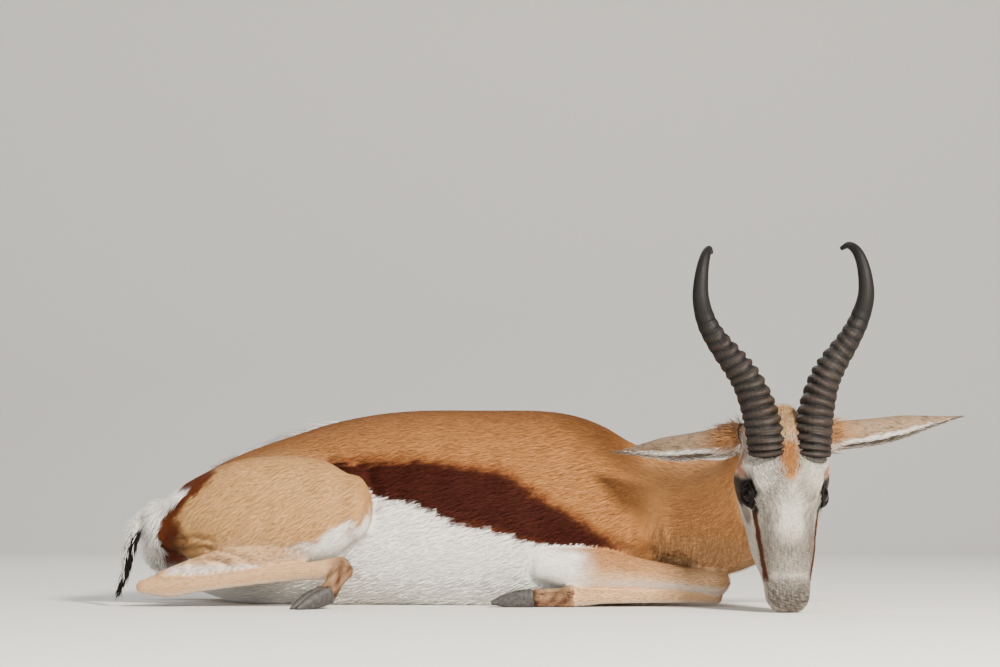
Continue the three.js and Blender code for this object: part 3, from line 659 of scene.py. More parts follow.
ELBOW_CREASE = [(250, 49), (255, 57), (265, 60), (278, 55), (284, 43)]
FOLDS = [  # a line in X and Z on the near side, how deep, half how wide; less than 0 is a ridge
    ([(-262, 166), (-216, 154), (-174, 139), (-152, 126)], 0.8, 12),
    ([(-298, 154), (-268, 166), (-236, 181), (-204, 194)], 1.6, 5),
    ([(-322, 58), (-286, 68), (-254, 61), (-219, 49)], 3.4, 4),
    ([(-326, 72), (-300, 80), (-268, 76)], 2.6, 4),
    ([(-308, 46), (-280, 55), (-250, 49)], 2.8, 3.6),
    ([(-300, 60), (-270, 64), (-240, 56)], -1.6, 5),
    ([(-128, 176), (-98, 160), (-84, 128), (-92, 98)], 3.0, 8),
    ([(70, 170), (88, 128), (104, 92), (112, 66)], 0.9, 16),
    ([(150, 196), (178, 160), (206, 124)], -2.6, 20),
    (ELBOW_CREASE, 3.5, 4),
    ([(190, 72), (222, 62), (250, 66)], 2.4, 7),
    ([(214, 84), (240, 78), (262, 84)], -1.6, 8),
    ([(236, 176), (252, 132), (262, 92)], 1.2, 16),
    ([(10, 215), (2, 150), (4, 110)], -1.1, 16),
    ([(-36, 215), (-44, 150), (-42, 110)], -1.1, 16),
]
fold_points, facing = points_of(skin.data), normals_of(skin.data)
flat = fold_points[:, [0, 2]]
press = np.zeros(len(flat))
for line, deep, wide in FOLDS:
    away, along = near_line(flat, line)
    ends = ease(0, 0.2, along) * ease(1, 0.8, along)
    press -= deep * ends * np.exp(-(away / wide) ** 2)
press *= ease(0.05, 0.5, -facing[:, 1]) * (fold_points[:, 1] < -30)
set_points(skin.data, fold_points + facing * press[:, None])
print("folds pressed in", len(FOLDS))

# %% [markdown]
# ## Finer skin where the detail is
# Two millimetres between points is fine for a flank but coarse for an eyelid. Only the faces on
# the head are divided once more, and those round the eyes, the nose and the mouth twice, so the
# points go where the eye of the viewer goes.

# %% Dividing the head
EYE_RADIUS = 15.5
EYE_AT = np.array([32.5, -18, 131])
EYE_LOOK = unit(np.array([0.88, -0.42, 0.05]))
FINE_SPOTS = [(EYE_AT * (way, 1, 1), 33) for way in (1, -1)] + [((0, -38, 22), 48)]


def divide(mesh, wanted):
    """Splits every face whose corners are all wanted into smaller ones."""
    form = bmesh.new()
    form.from_mesh(mesh)
    form.verts.ensure_lookup_table()
    edges = [e for e in form.edges if wanted[e.verts[0].index] and wanted[e.verts[1].index]]
    bmesh.ops.subdivide_edges(form, edges=edges, cuts=1, use_grid_fill=True, smooth=0.6)
    form.to_mesh(mesh)
    form.free()
    mesh.update()


local = head_in(points_of(skin.data))
on_head = (local[:, 2] > -2) & (local[:, 1] < 66) & (np.abs(local[:, 0]) < 62)
divide(skin.data, on_head)
local = head_in(points_of(skin.data))
fine = np.zeros(len(local), bool)
for at, size in FINE_SPOTS:
    fine |= np.linalg.norm(local - at, axis=1) < size
divide(skin.data, fine & (local[:, 1] < 20))
print("skin points after dividing:", len(skin.data.vertices))

# %% [markdown]
# ## Sculpting the face
# The eye sits in the skull as a ball, and the lids are skin stretched over it. Round each eye
# the skin is therefore pulled to a set distance from the middle of the ball: less than its
# radius inside the slit, two millimetres more along the rim of the lids, then back to the face.
# Nostrils and the line of the mouth are pressed in the same way, along the normals.

# %% Lids
LID_THICK, LID_SINK = 2.3, 3.2
SLIT_LEAN = math.radians(20)  # how far the long axis of the slit leans forward at its foot
SLIT_LONG, SLIT_WIDE = 47, 35  # half the opening, in degrees seen from the middle of the ball


def slit_place(points, way):
    """How far out each point is from the middle of the slit, 1 at its rim, and where it lies."""
    look = EYE_LOOK * (way, 1, 1)
    up = unit(np.array([0, 0, 1]) - look * look[2])
    front = np.cross(up, look) * way
    away = points - EYE_AT * (way, 1, 1)
    ahead = away @ look
    high = np.degrees(np.arctan2(away @ up, ahead))
    wide = np.degrees(np.arctan2(away @ front, ahead))
    long = high * math.cos(SLIT_LEAN) + wide * math.sin(SLIT_LEAN)
    short = -high * math.sin(SLIT_LEAN) + wide * math.cos(SLIT_LEAN)
    return np.hypot(long / SLIT_LONG, short / SLIT_WIDE), short, away, ahead


def shape_lids(points, way):
    """Pulls the skin round one eye on to the ball: slit, rim, lids, and the folds round them."""
    out, short, away, ahead = slit_place(points, way)
    far = np.linalg.norm(away, axis=1)
    inside, rim = EYE_RADIUS - LID_SINK, EYE_RADIUS + LID_THICK
    wanted = inside + (rim - inside) * ease(0.9, 1.03, out)
    wanted -= np.exp(-((out - 1.42) / 0.09) ** 2) * (short < 10)  # fold of the lids
    wanted += 0.7 * np.exp(-((out - 1.2) / 0.1) ** 2)
    hold = (1 - ease(1.3, 2.05, out)) * (ahead > 0) * (far < 36)
    return points + away / far[:, None] * ((wanted - far) * hold)[:, None]


local = head_in(points_of(skin.data))
for way in (1, -1):
    local = shape_lids(local, way)
set_points(skin.data, head_out(local))
print("lids shaped, rim", EYE_RADIUS + LID_THICK, "mm from the middle of the eye")


# %% Nose and mouth
NOSTRIL = [(9, -53, 9), (14, -49, 15), (21, -43, 18)]
MOUTH_SIDE = [(-9, 60), (-13, 44), (-17, 28), (-21, 15), (-26, 5), (-31, 0)]  # Y and Z
local = head_in(points_of(skin.data))
facing = normals_of(skin.data) @ TURN
press = np.zeros(len(local))
for way in (1, -1):
    away, share = near_line(local, np.array(NOSTRIL) * (way, 1, 1))
    press -= 5.5 * np.exp(-(away / (2.2 + 1.2 * np.sin(math.pi * share))) ** 4)
    press += 1.1 * np.exp(-((away - 5.2) / 2.0) ** 2)
away, share = near_line(local[:, 1:], MOUTH_SIDE)
at_side = (np.abs(local[:, 0]) > 5) * ease(0, 0.12, share)
press -= 1.6 * np.exp(-(away / 1.1) ** 2) * at_side
press += 0.7 * np.exp(-((away - 3.2) / 1.8) ** 2) * at_side
cleft = np.exp(-(local[:, 0] / 0.9) ** 2) * ease(26, 16, local[:, 2]) * (local[:, 1] < -34)
press -= 1.1 * cleft
for height in (31, 40):  # two soft folds across the nose
    fold = local[:, 2] - height - 0.09 * np.abs(local[:, 0])
    press -= 0.55 * np.exp(-(fold / 1.5) ** 2) * (local[:, 1] < -30)
local += facing * press[:, None]
world_points = head_out(local)
world_points[:, 2] = np.maximum(world_points[:, 2], FLOOR_CLEAR)
set_points(skin.data, world_points)
print("nose and mouth pressed in, deepest", round(float(-press.min()), 1), "mm")

# %% [markdown]
# ## Eyes
# A springbok's eye is large, dark brown and wet, with a pupil like a bar. The real cornea stands
# out a little from the ball and catches a hard highlight. One ball with a raised front does both,
# and the iris and pupil are painted on it by angle from the direction of the look.

# %% Eyes
CORNEA_RISE, LID_GAP = 1.0, 0.2
CORNEA_HALF = 42  # degrees
EYE_RINGS, EYE_SIDES = 64, 96


def eye_ball(way, name):
    """A ball with a raised cornea, turned to look outward and forward."""
    down, turn = np.meshgrid(np.linspace(0, math.pi, EYE_RINGS)[1:-1], circle(EYE_SIDES), indexing="ij")
    middle, look = EYE_AT * (way, 1, 1), EYE_LOOK * (way, 1, 1)
    up = unit(np.array([0, 0, 1]) - look * look[2])
    front = np.cross(up, look)
    ball = EYE_RADIUS - LID_GAP
    radius = ball + CORNEA_RISE * np.clip(1 - (np.degrees(down) / CORNEA_HALF) ** 2, 0, 1)
    offset = (look * np.cos(down)[..., None] + up * (np.sin(down) * np.cos(turn))[..., None]
              + front * (np.sin(down) * np.sin(turn))[..., None])
    points = (middle + offset * radius[..., None]).reshape(-1, 3)
    poles = middle + np.stack([look, -look]) * (ball + CORNEA_RISE)
    faces = rows_to_faces(EYE_RINGS - 2, EYE_SIDES, (len(points), len(points) + 1))
    made = mesh_from(name, head_out(np.concatenate([points, poles])), faces)
    gaze = np.concatenate([offset.reshape(-1, 3), look[None], -look[None]])
    set_attribute(made, "look", "FLOAT_VECTOR", np.stack([gaze @ front, gaze @ up, gaze @ look], 1))
    return made


# %% Eye finish
wet_eye, tree = material("wet_cornea_over_brown_iris")
# The clear wet cornea gives a sharp white highlight, and the iris under it is nearly black.
gaze = add(tree, "Attribute", attribute_name="look")
parts = add(tree, "SeparateXYZ", {"Vector": gaze.outputs["Vector"]})
bar_x = add(tree, "Math", {0: parts.outputs["X"], 1: 1.0}, operation="MULTIPLY")
bar_y = add(tree, "Math", {0: parts.outputs["Y"], 1: 2.0}, operation="MULTIPLY")
bar = add(tree, "CombineXYZ", {"X": bar_x, "Y": bar_y})
pupil = add(tree, "VectorMath", {0: bar}, operation="LENGTH")
iris = ramp(tree, pupil.outputs["Value"], (0.4, "030202"), (0.5, "120a06"), (0.95, "060403"))
finish(tree, {
    "Base Color": iris, "Roughness": 0.25, "IOR": 1.38, "Specular IOR Level": 0.1,
    "Coat Weight": 0.3, "Coat Roughness": 0.05, "Coat IOR": 1.3,
})
for way, side_name in ((1, "left"), (-1, "right")):
    eye = eye_ball(way, f"eyeball_{side_name}")
    eye.data.materials.append(wet_eye)
    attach(eye, "root")
    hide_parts(f"eye_{side_name}")
print("eyes", 2 * EYE_RADIUS, "mm across")

# %% [markdown]
# ## Horns
# A horn is a sheath of keratin over a core of bone. It grows in rings, more slowly each year, so
# the rings are bold at the foot and close and fade towards the smooth hooked tip. The line and
# the girth come from the named sizes, and the rings are a wave along the length.

# %% Horn line
HORN_RISE, HORN_SPREAD, HORN_RADIUS, HORN_RINGS = 240, 99, 21, 17
HORN_SEAT, HORN_ODDS, HORN_SHIFT, RINGED_SHARE = 172, 3, 3, 0.66
HORN_LINE = [
    (-0.01, 0.258, -30), (0.1, 0.283, -27), (0.2, 0.318, -22), (0.29, 0.38, -17), (0.37, 0.46, -11),
    (0.44, 0.567, -6), (0.55, 0.757, 0), (0.64, 0.878, 2), (0.755, 0.955, -2),
    (0.885, 0.935, 0), (0.965, 0.88, 8), (1, 0.815, 22), (0.992, 0.765, 36),
]
HORN_GIRTH = [0.98, 0.97, 0.95, 0.85, 0.75, 0.64, 0.55, 0.46, 0.37, 0.26, 0.12]


def even_line(points, count):
    """A smooth curve through points, as count places evenly spaced by length."""
    points = np.asarray(points, float)
    full = np.concatenate([[2 * points[0] - points[1]], points, [2 * points[-1] - points[-2]]])
    root = np.sqrt(np.linalg.norm(np.diff(full, axis=0), axis=1))
    fine = []
    for i in range(len(points) - 1):
        p, a, b, q = full[i:i + 4]
        d0, d1, d2 = root[i:i + 3]
        leave = ((a - p) / d0 - (b - p) / (d0 + d1) + (b - a) / d1) * d1
        arrive = ((b - a) / d1 - (q - a) / (d1 + d2) + (q - b) / d2) * d1
        t = np.linspace(0, 1, 60, endpoint=False)[:, None]
        fine.append((2 * t**3 - 3 * t**2 + 1) * a + (t**3 - 2 * t**2 + t) * leave
                    + (3 * t**2 - 2 * t**3) * b + (t**3 - t**2) * arrive)
    fine = np.concatenate([*fine, points[-1:]])
    length = np.concatenate([[0], np.cumsum(np.linalg.norm(np.diff(fine, axis=0), axis=1))])
    at = np.linspace(0, length[-1], count)
    return np.stack([np.interp(at, length, fine[:, k]) for k in range(3)], 1), length[-1]

# %% [markdown]
# The rings stand out most on the inner side of the horn and dip at its front, and no ring is quite
# even. So the wave is shifted and made bolder round the horn, and fades out at the smooth tip.

# %% Rings of the horn
HORN_STEPS, HORN_SIDES = 420, 72
WRINKLE_WIDTH = 0.62  # mm


def horn(way, name):
    """One ringed sheath, and its length along the curve."""
    line, length = even_line([
        (way * spread * HORN_SPREAD + HORN_SHIFT, back,
         HORN_SEAT + rise * (HORN_RISE + way * HORN_ODDS))
        for rise, spread, back in HORN_LINE
    ], HORN_STEPS)
    u = np.linspace(0, 1, HORN_STEPS)
    rise = u[:, None]
    axis = unit(np.gradient(line, axis=0))
    inward = unit(np.array([-way, 0, 0]) - axis * (axis @ [-way, 0, 0])[:, None])
    front = np.cross(axis, inward)
    angle = circle(HORN_SIDES)
    to_front = np.maximum(way * np.sin(angle), 0)
    number = HORN_RINGS * np.clip(rise / RINGED_SHARE, 0, 1) ** (1 / 1.12)
    phase = number + 0.42 * to_front ** 2 * ease(0, 0.04, rise)
    phase = phase + 0.1 * np.sin(angle * 2 + 1.3 * number)
    wave = 1 - 2 * np.abs(2 * (phase % 1) ** 0.85 - 1) ** 1.5
    fade = (1 - np.clip(number / HORN_RINGS, 0, 1) ** 4) * (rise < RINGED_SHARE)
    uneven = 1 + 0.26 * np.sin(7.1 * np.floor(number) + 2 * angle)
    bold = 1.3 + 0.5 * np.cos(angle)
    groove = 0.16 * np.sin(angle * 23 + 3 * np.sin(rise * 9))
    radius = HORN_RADIUS * glide(HORN_GIRTH, u)[:, None]
    wrinkle = np.sin(rise * length / WRINKLE_WIDTH + 0.8 * np.sin(3 * angle))
    wrinkle = wrinkle * (0.12 + 0.4 * ease(0.16, 0.04, rise)) * (rise < 0.55)
    size = radius + 1.15 * wave * fade * bold * uneven + groove * np.minimum(radius / 12, 1) + wrinkle
    points = (line[:, None] + inward[:, None] * (np.cos(angle) * size * 0.97)[..., None]
              + front[:, None] * (np.sin(angle) * size * 1.06)[..., None])
    points[..., 2] += 6 * (1 - to_front) * ease(0.07, 0, rise)
    everything = np.concatenate([points.reshape(-1, 3), line[:1], line[-1:] + axis[-1:] * 0.6])
    count = HORN_STEPS * HORN_SIDES
    made = mesh_from(name, head_out(everything),
                     rows_to_faces(HORN_STEPS, HORN_SIDES, (count, count + 1)))
    # The ridge height paints the crests lighter and the grooves darker: wear and dirt, and also painted
    # highlight and painted shade.
    ridge_height = (wave * fade * 0.5 + 0.5 * fade).ravel()
    set_attribute(made, "ridge", "FLOAT", np.concatenate([ridge_height, [0, 0]]))
    set_attribute(made, "along", "FLOAT", np.concatenate([np.repeat(u, HORN_SIDES), [0, 1]]))
    return made, length


# %% [markdown]
# Horn keratin is dark and a little shiny. The colour follows the height of the ridge: the tops of
# the rings are painted lighter, partly for wear and partly as a painted highlight, and the grooves
# between them darker, partly for dirt and partly as painted shade. Fine fibres run along the whole
# sheath. Their real width is about half a millimetre.

# %% Horn finish
HORN_FIBRE = 0.6  # mm
HORN_STAIN = 22  # mm
keratin, tree = material("ringed_horn_keratin")
# Keratin with a low broad gloss that the fibres break up: crests painted lighter for wear and as a
# painted highlight, grooves darker for dirt and as painted shade, and a dusty stain over all.
ridge = add(tree, "Attribute", attribute_name="ridge").outputs["Fac"]
along = add(tree, "Attribute", attribute_name="along").outputs["Fac"]
where = add(tree, "TexCoord").outputs["Object"]
fibres = noise(tree, where, 0.25 / (HORN_FIBRE * MM), 4.0)
stain = noise(tree, where, 1 / (HORN_STAIN * MM), 3.0)
# Painted highlight on the ring crests and painted shade in the grooves, together with wear and dirt.
crest_wear_and_highlight = add(tree, "Math", {0: ridge, 1: fibres}, operation="MULTIPLY")
tone = ramp(tree, crest_wear_and_highlight, (0.05, "0c0a09"), (0.7, "3a2f27"))
smooth_part = ramp(tree, along, (0.62, "191411"), (0.95, "0e0b0a"))
upper = add(tree, "MapRange", {"Value": along, "From Min": 0.6, "From Max": 0.7})
colour = add(tree, "Mix", {"Factor": upper, 6: tone, 7: smooth_part}, data_type="RGBA")
dust = add(tree, "Mix", {"Factor": 0.35, 6: colour.outputs[2], 7: stain.outputs["Color"]},
           data_type="RGBA", blend_type="SOFT_LIGHT")
gloss = add(tree, "MapRange", {"Value": fibres, "To Min": 0.5, "To Max": 0.72})
bump = add(tree, "Bump", {"Height": fibres, "Strength": 0.35, "Distance": 0.0004})
finish(tree, {
    "Base Color": dust.outputs[2], "Roughness": gloss, "IOR": 1.54, "Specular IOR Level": 0.22,
    "Normal": bump,
})
for way, side_name in ((1, "left"), (-1, "right")):
    sheath, length = horn(way, f"horn_sheath_{side_name}")
    sheath.data.materials.append(keratin)
    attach(sheath, "root")
    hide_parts(f"horn_{side_name}")
    print("horn", side_name, "length along its curve", round(length), "mm")

# %% [markdown]
# ## Hooves
# Each foot stands on two hooves of grey horn, upright at the wall and pointed at the toe, with
# faint growth rings parallel to the hairline.

# %% Hooves
HOOF_APART = 7.4
HOOF_GRAIN = 3  # mm
HOOF_CLEAR = 0.2  # mm between a hoof and the floor


def hoof_keys(leg, spread):
    heading, rise = leg["toe"]
    across = np.array([-math.sin(math.radians(heading)), math.cos(math.radians(heading)), 0])
    rows = []
    for share, high, broad, drop in ((0.06, 10.5, 6.6, 0), (0.4, 10, 6.1, -1),
                                     (0.75, 6.5, 4.7, -2.5), (0.98, 2.6, 2.2, -4)):
        at = reach(leg["heel"], HOOF_LENGTH * share, heading, rise)
        at = at + across * spread * HOOF_APART * (1 - 0.25 * share) + (0, 0, drop)
        rows.append(key(at, broad, high, square=2.6, top=0.25))
    return rows, across

# %% Hoof finish
hoof_horn, tree = material("grey_hoof_horn")
# Duller than the horns, because the ground grinds it, with growth rings as a faint bump.
along = add(tree, "Attribute", attribute_name="along").outputs["Vector"]
growth = add(tree, "TexWave", {"Vector": along, "Scale": 3.2, "Distortion": 1.5, "Detail": 2.0})
where = add(tree, "TexCoord").outputs["Object"]
grain = noise(tree, where, 1 / (HOOF_GRAIN * MM), 5.0)
tone = ramp(tree, grain, (0.3, "1d1a18"), (0.7, "47413c"))
bump = add(tree, "Bump", {"Height": growth.outputs["Fac"], "Strength": 0.2, "Distance": 0.0003})
finish(tree, {"Base Color": tone, "Roughness": 0.62, "IOR": 1.54, "Normal": bump})
for leg_name, leg in LEGS.items():
    for number, spread in ((1, 1), (2, -1)):
        rows, across = hoof_keys(leg, spread)
        points, faces, place = loft(rows, 30, 40, -0.1, (0.5, 0.6), side=across)
        points[:, 2] = np.maximum(points[:, 2], HOOF_CLEAR)
        hoof = mesh_from(f"hoof_wall_{leg_name}_{number}", points, faces)
        set_attribute(hoof, "along", "FLOAT_VECTOR", place[:, :1] * (1, 0, 0))
        hoof.data.materials.append(hoof_horn)
        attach(hoof, "root")
        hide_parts(f"hoof_{leg_name}_{number}")
print("hooves", 2 * len(LEGS))

# %% [markdown]
# ## Ears
# A springbok's ear is a long leaf of gristle, rolled shut at its root and open towards the tip.
# It is too thin for the voxels of the body, so each ear is its own sheet: an outer and an inner
# wall a couple of millimetres apart, made as one closed grid, with low ridges inside. It is then
# joined to the skin with its root sunk in the head.

# %% Ears
EAR_LENGTH, EAR_RADIUS, EAR_THICK = 176, 21, 2.2
EAR_OPEN = unit(np.array([0, -0.22, -0.97]))
EAR_ROUND = [1, 1.06, 1.04, 1.02, 0.97, 0.72, 0.4, 0.1]
EAR_SWEEP = [150, 142, 132, 125, 118, 105, 95, 85]
EAR_WALL = [1.2, 1.1, 1, 0.9, 0.8, 0.7, 0.45, 0.2]
EAR_FLAT = 0.8  # how deep the cup is for its width
EAR_STEPS = 90  # sections along it
EAR_SIDES = 80  # points round it, half of them inside


def ear(way):
    """One ear as a closed form: points, faces, place, and whether each point is inside the cup."""
    root = EAR_ROOT * (way, 1, 1)
    tip = root + unit(np.array(EAR_AIMS[way])) * EAR_LENGTH
    half = EAR_SIDES // 2
    u = np.linspace(0, 1, EAR_STEPS)[:, None]
    middle = root + (tip - root) * 0.55 + EAR_OPEN * 11
    line = (1 - u) ** 2 * root + 2 * u * (1 - u) * middle + u ** 2 * tip
    axis = unit(np.gradient(line, axis=0))
    back = unit(-EAR_OPEN + axis * (axis @ EAR_OPEN)[:, None])
    across = np.cross(axis, back)
    u = u[:, 0]
    radius = EAR_RADIUS * glide(EAR_ROUND, u)
    thick = EAR_THICK * glide(EAR_WALL, u)
    sweep = np.radians(glide(EAR_SWEEP, u))
    share = np.linspace(-1, 1, half)
    angle = sweep[:, None] * share
    rib = 0.7 * np.cos(share * 13) * (1 - share ** 2) * ease(0, 0.3, u)[:, None]
    wave = 1 + 0.035 * np.sin(u * 17 + way)[:, None] * share ** 2

    def wall(size):
        size = size * wave
        return (line[:, None] + back[:, None] * (np.cos(angle) * size * EAR_FLAT)[..., None]
                + across[:, None] * (np.sin(angle) * size)[..., None])

    inner = np.maximum(radius - thick, radius * 0.4)[:, None] - rib * (radius / EAR_RADIUS)[:, None]
    rings = np.concatenate([wall(radius[:, None] - 0.4), wall(inner)[:, ::-1]], 1)
    faces = rows_to_faces(EAR_STEPS, EAR_SIDES)
    k = np.arange(half - 1)
    cap = np.stack([k, k + 1, EAR_SIDES - 2 - k, EAR_SIDES - 1 - k], 1)
    faces += [cap[:, ::-1], cap + (EAR_STEPS - 1) * EAR_SIDES]
    turn = np.concatenate([share, 2 + share[::-1]])
    place = np.stack(np.broadcast_arrays(u[:, None], turn), -1).reshape(-1, 2)
    inside = np.tile(np.arange(EAR_SIDES) >= half, EAR_STEPS)
    return rings.reshape(-1, 3), faces, place, inside

# %% [markdown]
# The ears become part of the skin's own mesh, so one material, one map and one coat of hair
# cover them too. Their points come last, so their places need no search.


# %% Joining the ears to the skin
def join_into(obj, points, faces):
    """Adds more points and faces to an object's mesh, and returns how many points it had."""
    more = mesh_from("more", points, faces)
    had = len(obj.data.vertices)
    bpy.ops.object.select_all(action="DESELECT")
    more.select_set(True)
    obj.select_set(True)
    bpy.context.view_layer.objects.active = obj
    bpy.ops.object.join()
    return had


ear_starts = {}
for way in (1, -1):
    points, faces, place, inside = ear(way)
    points = head_out(points)
    ear_starts[way] = (join_into(skin, points, faces), place, inside)
    sources.append({"part": f"ear_{way}", "points": points, "faces": faces, "place": place,
                    "flow": 1, "sides": EAR_SIDES})
print("skin points with ears:", len(skin.data.vertices))

# %% [markdown]
# ## Where each point of the skin is
# A search tree over the points of the forms finds the nearest one for every point of the skin.
# The lie of the hair comes from there too: along the form or against it, smoothed over the
# skin so that it turns gently from the neck to the shoulder.

# %% Part, share and angle of each point
part_names = [s["part"] for s in sources]
all_points = np.concatenate([s["points"] for s in sources])
all_parts = np.concatenate([np.full(len(s["points"]), i) for i, s in enumerate(sources)])
all_places = np.concatenate([s["place"] for s in sources])


def lie_of(source):
    """The way the hair lies at each point of a form."""
    points, sides, flow = source["points"], source["sides"], source["flow"]
    if not isinstance(flow, int):
        return np.broadcast_to(unit(np.array(flow, float)), points.shape)
    in_rings = len(points) // sides * sides
    middle = points[:in_rings].reshape(-1, sides, 3).mean(1)
    along = unit(np.gradient(middle, axis=0)) * flow
    poles = along[[0, -1]][:len(points) - in_rings]
    return np.concatenate([np.repeat(along, sides, axis=0), poles])


all_lies = np.concatenate([lie_of(s) for s in sources])
form_tree = KDTree(len(all_points))
for i, point in enumerate(all_points):
    form_tree.insert(point, i)
form_tree.balance()
skin_points = points_of(skin.data)
nearest = np.array([form_tree.find(p)[1] for p in skin_points])
for way, (start, place, inside) in ear_starts.items():
    offset = sum(len(s["points"]) for s in sources[:part_names.index(f"ear_{way}")])
    nearest[start:start + len(place)] = offset + np.arange(len(place))
part, place = all_parts[nearest], all_places[nearest]
share, angle = place[:, 0], place[:, 1]

skin_edges = edges_of(skin.data)
skin_normals = normals_of(skin.data)
lie = even_out(all_lies[nearest], skin_edges, 14)
lie -= skin_normals * np.sum(lie * skin_normals, 1)[:, None]
lie = unit(lie)
print("lie of the hair set on", len(lie), "points")

# %% [markdown]
# ## Markings
# A springbok is cinnamon above and white below, with a chocolate band along the flank between
# them, a white face with a brown stripe from each eye to the mouth, and a white rump edged with
# brown. On the animal these follow the body, so they are written as rules on the place along
# and round each form. Noise wobbles the edges as the tips of hairs do.

# %% Colours of the coat
TAN, BACK_TAN_AND_SHADE, HAUNCH_TAN = linear("a16c3c"), linear("78491f"), linear("be905c")
CHOCOLATE, FRINGE, WHITE = linear("361004"), linear("6a3415"), linear("f3eee5")
FACE_WHITE, MUZZLE, FOREHEAD = linear("c6bfb0"), linear("63584e"), linear("ab7443")
# The stripe brown is the face stripe's own colour, and is also painted as shade along creases.
STRIPE_BROWN_AND_CREASE_SHADE, BARE_DARK, TAIL_BLACK = linear("4a2614"), linear("15100d"), linear("191411")
LEG_TAN, PASTERN_BROWN, EAR_BACK = linear("cfa67a"), linear("4f2c1f"), linear("8b745c")
REAR_BROWN, NECK_TAN, NOSE = linear("5c2b10"), linear("bb834e"), linear("3f3733")
GROIN, CROWN_TAN, TEMPLE_RUST = linear("e0cfc0"), linear("caa06c"), linear("9c5526")
EAR_INSIDE_AND_SHADE, BEHIND_EYE_SHADE = linear("988d80"), linear("1f140e")


def mottle(points, size, seed):
    """A soft random value from -1 to 1 that changes over about this many millimetres."""
    draw = np.random.default_rng(seed)
    total = np.zeros(len(points))
    for _ in range(9):
        wave = unit(draw.normal(size=3)) * draw.uniform(0.7, 1.5) * 2 * math.pi / (2 * size)
        total += np.sin(points @ wave + draw.uniform(0, 6.3))
    return total / 4.5


def paint(ground, *layers):
    """Lays colours over a ground, one after another. Each layer is a colour and its weight."""
    for over, weight in layers:
        ground = ground + (over - ground) * np.clip(1.0 * weight, 0, 1)[:, None]
    return ground


def is_part(*starts):
    chosen = [i for i, n in enumerate(part_names) if n.startswith(starts)]
    return np.isin(part, chosen)


x, y, z = skin_points.T
flat = np.stack([x, z], 1)
near_side = y < -20
from_back = np.abs((np.degrees(angle) - 90 + 180) % 360 - 180)
wobble = 1.6 * mottle(skin_points, 9, 3) + 0.9 * mottle(skin_points, 3.5, 4)
ragged = from_back + wobble
trunk, thigh, neck = is_part("trunk"), is_part("thigh"), is_part("neck")
head, tail, ears = is_part("head"), is_part("tail"), is_part("ear")
lower, far_thigh = is_part("cannon", "pastern", "forearm", "shank"), is_part("thigh_hind_left")
print("skin points by part:", {name: int(is_part(name).sum()) for name in ("trunk", "head", "ear")})

# %% [markdown]
# The ground colours come first, one for each part of the body, and are melted into each other
# over some centimetres. The sharp markings are then laid over them. An outline in X and Z bounds
# the haunch, because its paler hair spreads from the thigh on to the trunk.

# %% Ground colours
HAUNCH_EDGE = [(-300, 150), (-272, 168), (-200, 180), (-140, 172), (-108, 158), (-86, 134),
               (-78, 108), (-96, 78), (-180, 40), (-330, 10), (-350, 60), (-330, 110), (-300, 150)]


def inside_of(points, outline):
    """Which points in a plane lie inside an outline, by how often a level line crosses it."""
    inside = np.zeros(len(points), bool)
    for (ax, az), (bx, bz) in zip(outline[:-1], outline[1:]):
        between_them = (az > points[:, 1]) != (bz > points[:, 1])
        with np.errstate(divide="ignore", invalid="ignore"):
            crossing = ax + (points[:, 1] - az) * (bx - ax) / (bz - az)
        inside ^= between_them & (points[:, 0] < crossing)
    return inside


edge_away, _ = near_line(flat, HAUNCH_EDGE)
in_haunch = np.where(inside_of(flat, HAUNCH_EDGE), edge_away, -edge_away)
on_haunch = near_side & (trunk | thigh)
colour = paint(
    np.broadcast_to(TAN, (len(x), 3)),
    # The top of the back is painted darker: partly its own deeper tan, partly painted shade on the top of
    # the trunk.
    (BACK_TAN_AND_SHADE, trunk * ease(85, 30, from_back)),
    (NECK_TAN, neck * ease(0, 0.5, share)),
    (LEG_TAN, neck * 0.7 * ease(100, 50, z)),
    (LEG_TAN, lower),
    (HAUNCH_TAN, far_thigh),
    (HAUNCH_TAN, on_haunch * ease(-10, 14, in_haunch)),
)
colour = even_out(colour, skin_edges, 40)

# %% [markdown]
# The flank band is bounded by two lines: degrees round the trunk from the spine, along its
# length. Its lower edge is the sharpest line of the coat, where chocolate meets white.

# %% Trunk
BAND_TOP = [(0.2, 80), (0.3, 85), (0.39, 89), (0.463, 92), (0.523, 94), (0.591, 94.5),
            (0.617, 99), (0.658, 106), (0.718, 115), (0.752, 119), (0.79, 124), (0.83, 128)]
BAND_FOOT = [(0.2, 84), (0.3, 91), (0.389, 99), (0.43, 110), (0.463, 115), (0.55, 126),
             (0.591, 128), (0.638, 130.5), (0.698, 132.5), (0.76, 130), (0.83, 128)]
top, foot = (np.interp(share, *zip(*line)) for line in (BAND_TOP, BAND_FOOT))
belly = foot + 16 * ease(0.78, 0.9, share)
starts = trunk * ease(0.16, 0.3, share)
# Painted shade: a thin dark line along the fold of the back, just beside the spine.
crease = np.exp(-((from_back - 3) / 2.2) ** 2) * ease(0.12, 0.2, share) * ease(0.5, 0.45, share)
colour = paint(
    colour,
    (FRINGE, starts * 0.75 * ease(top - 7, top, ragged) * ease(0.86, 0.78, share)),
    (CHOCOLATE, starts * ease(top - 1.5, top + 2, ragged) * ease(0.84, 0.74, share)),
    (FRINGE, trunk * 0.6 * ease(foot - 4, foot, ragged) * ease(0.5, 0.6, share)
     * ease(0.84, 0.78, share)),
    (WHITE, trunk * ease(belly - 1, belly + 1.5, ragged)),
    # Painted shade along the fold of the back.
    (STRIPE_BROWN_AND_CREASE_SHADE, trunk * 0.7 * crease),
)
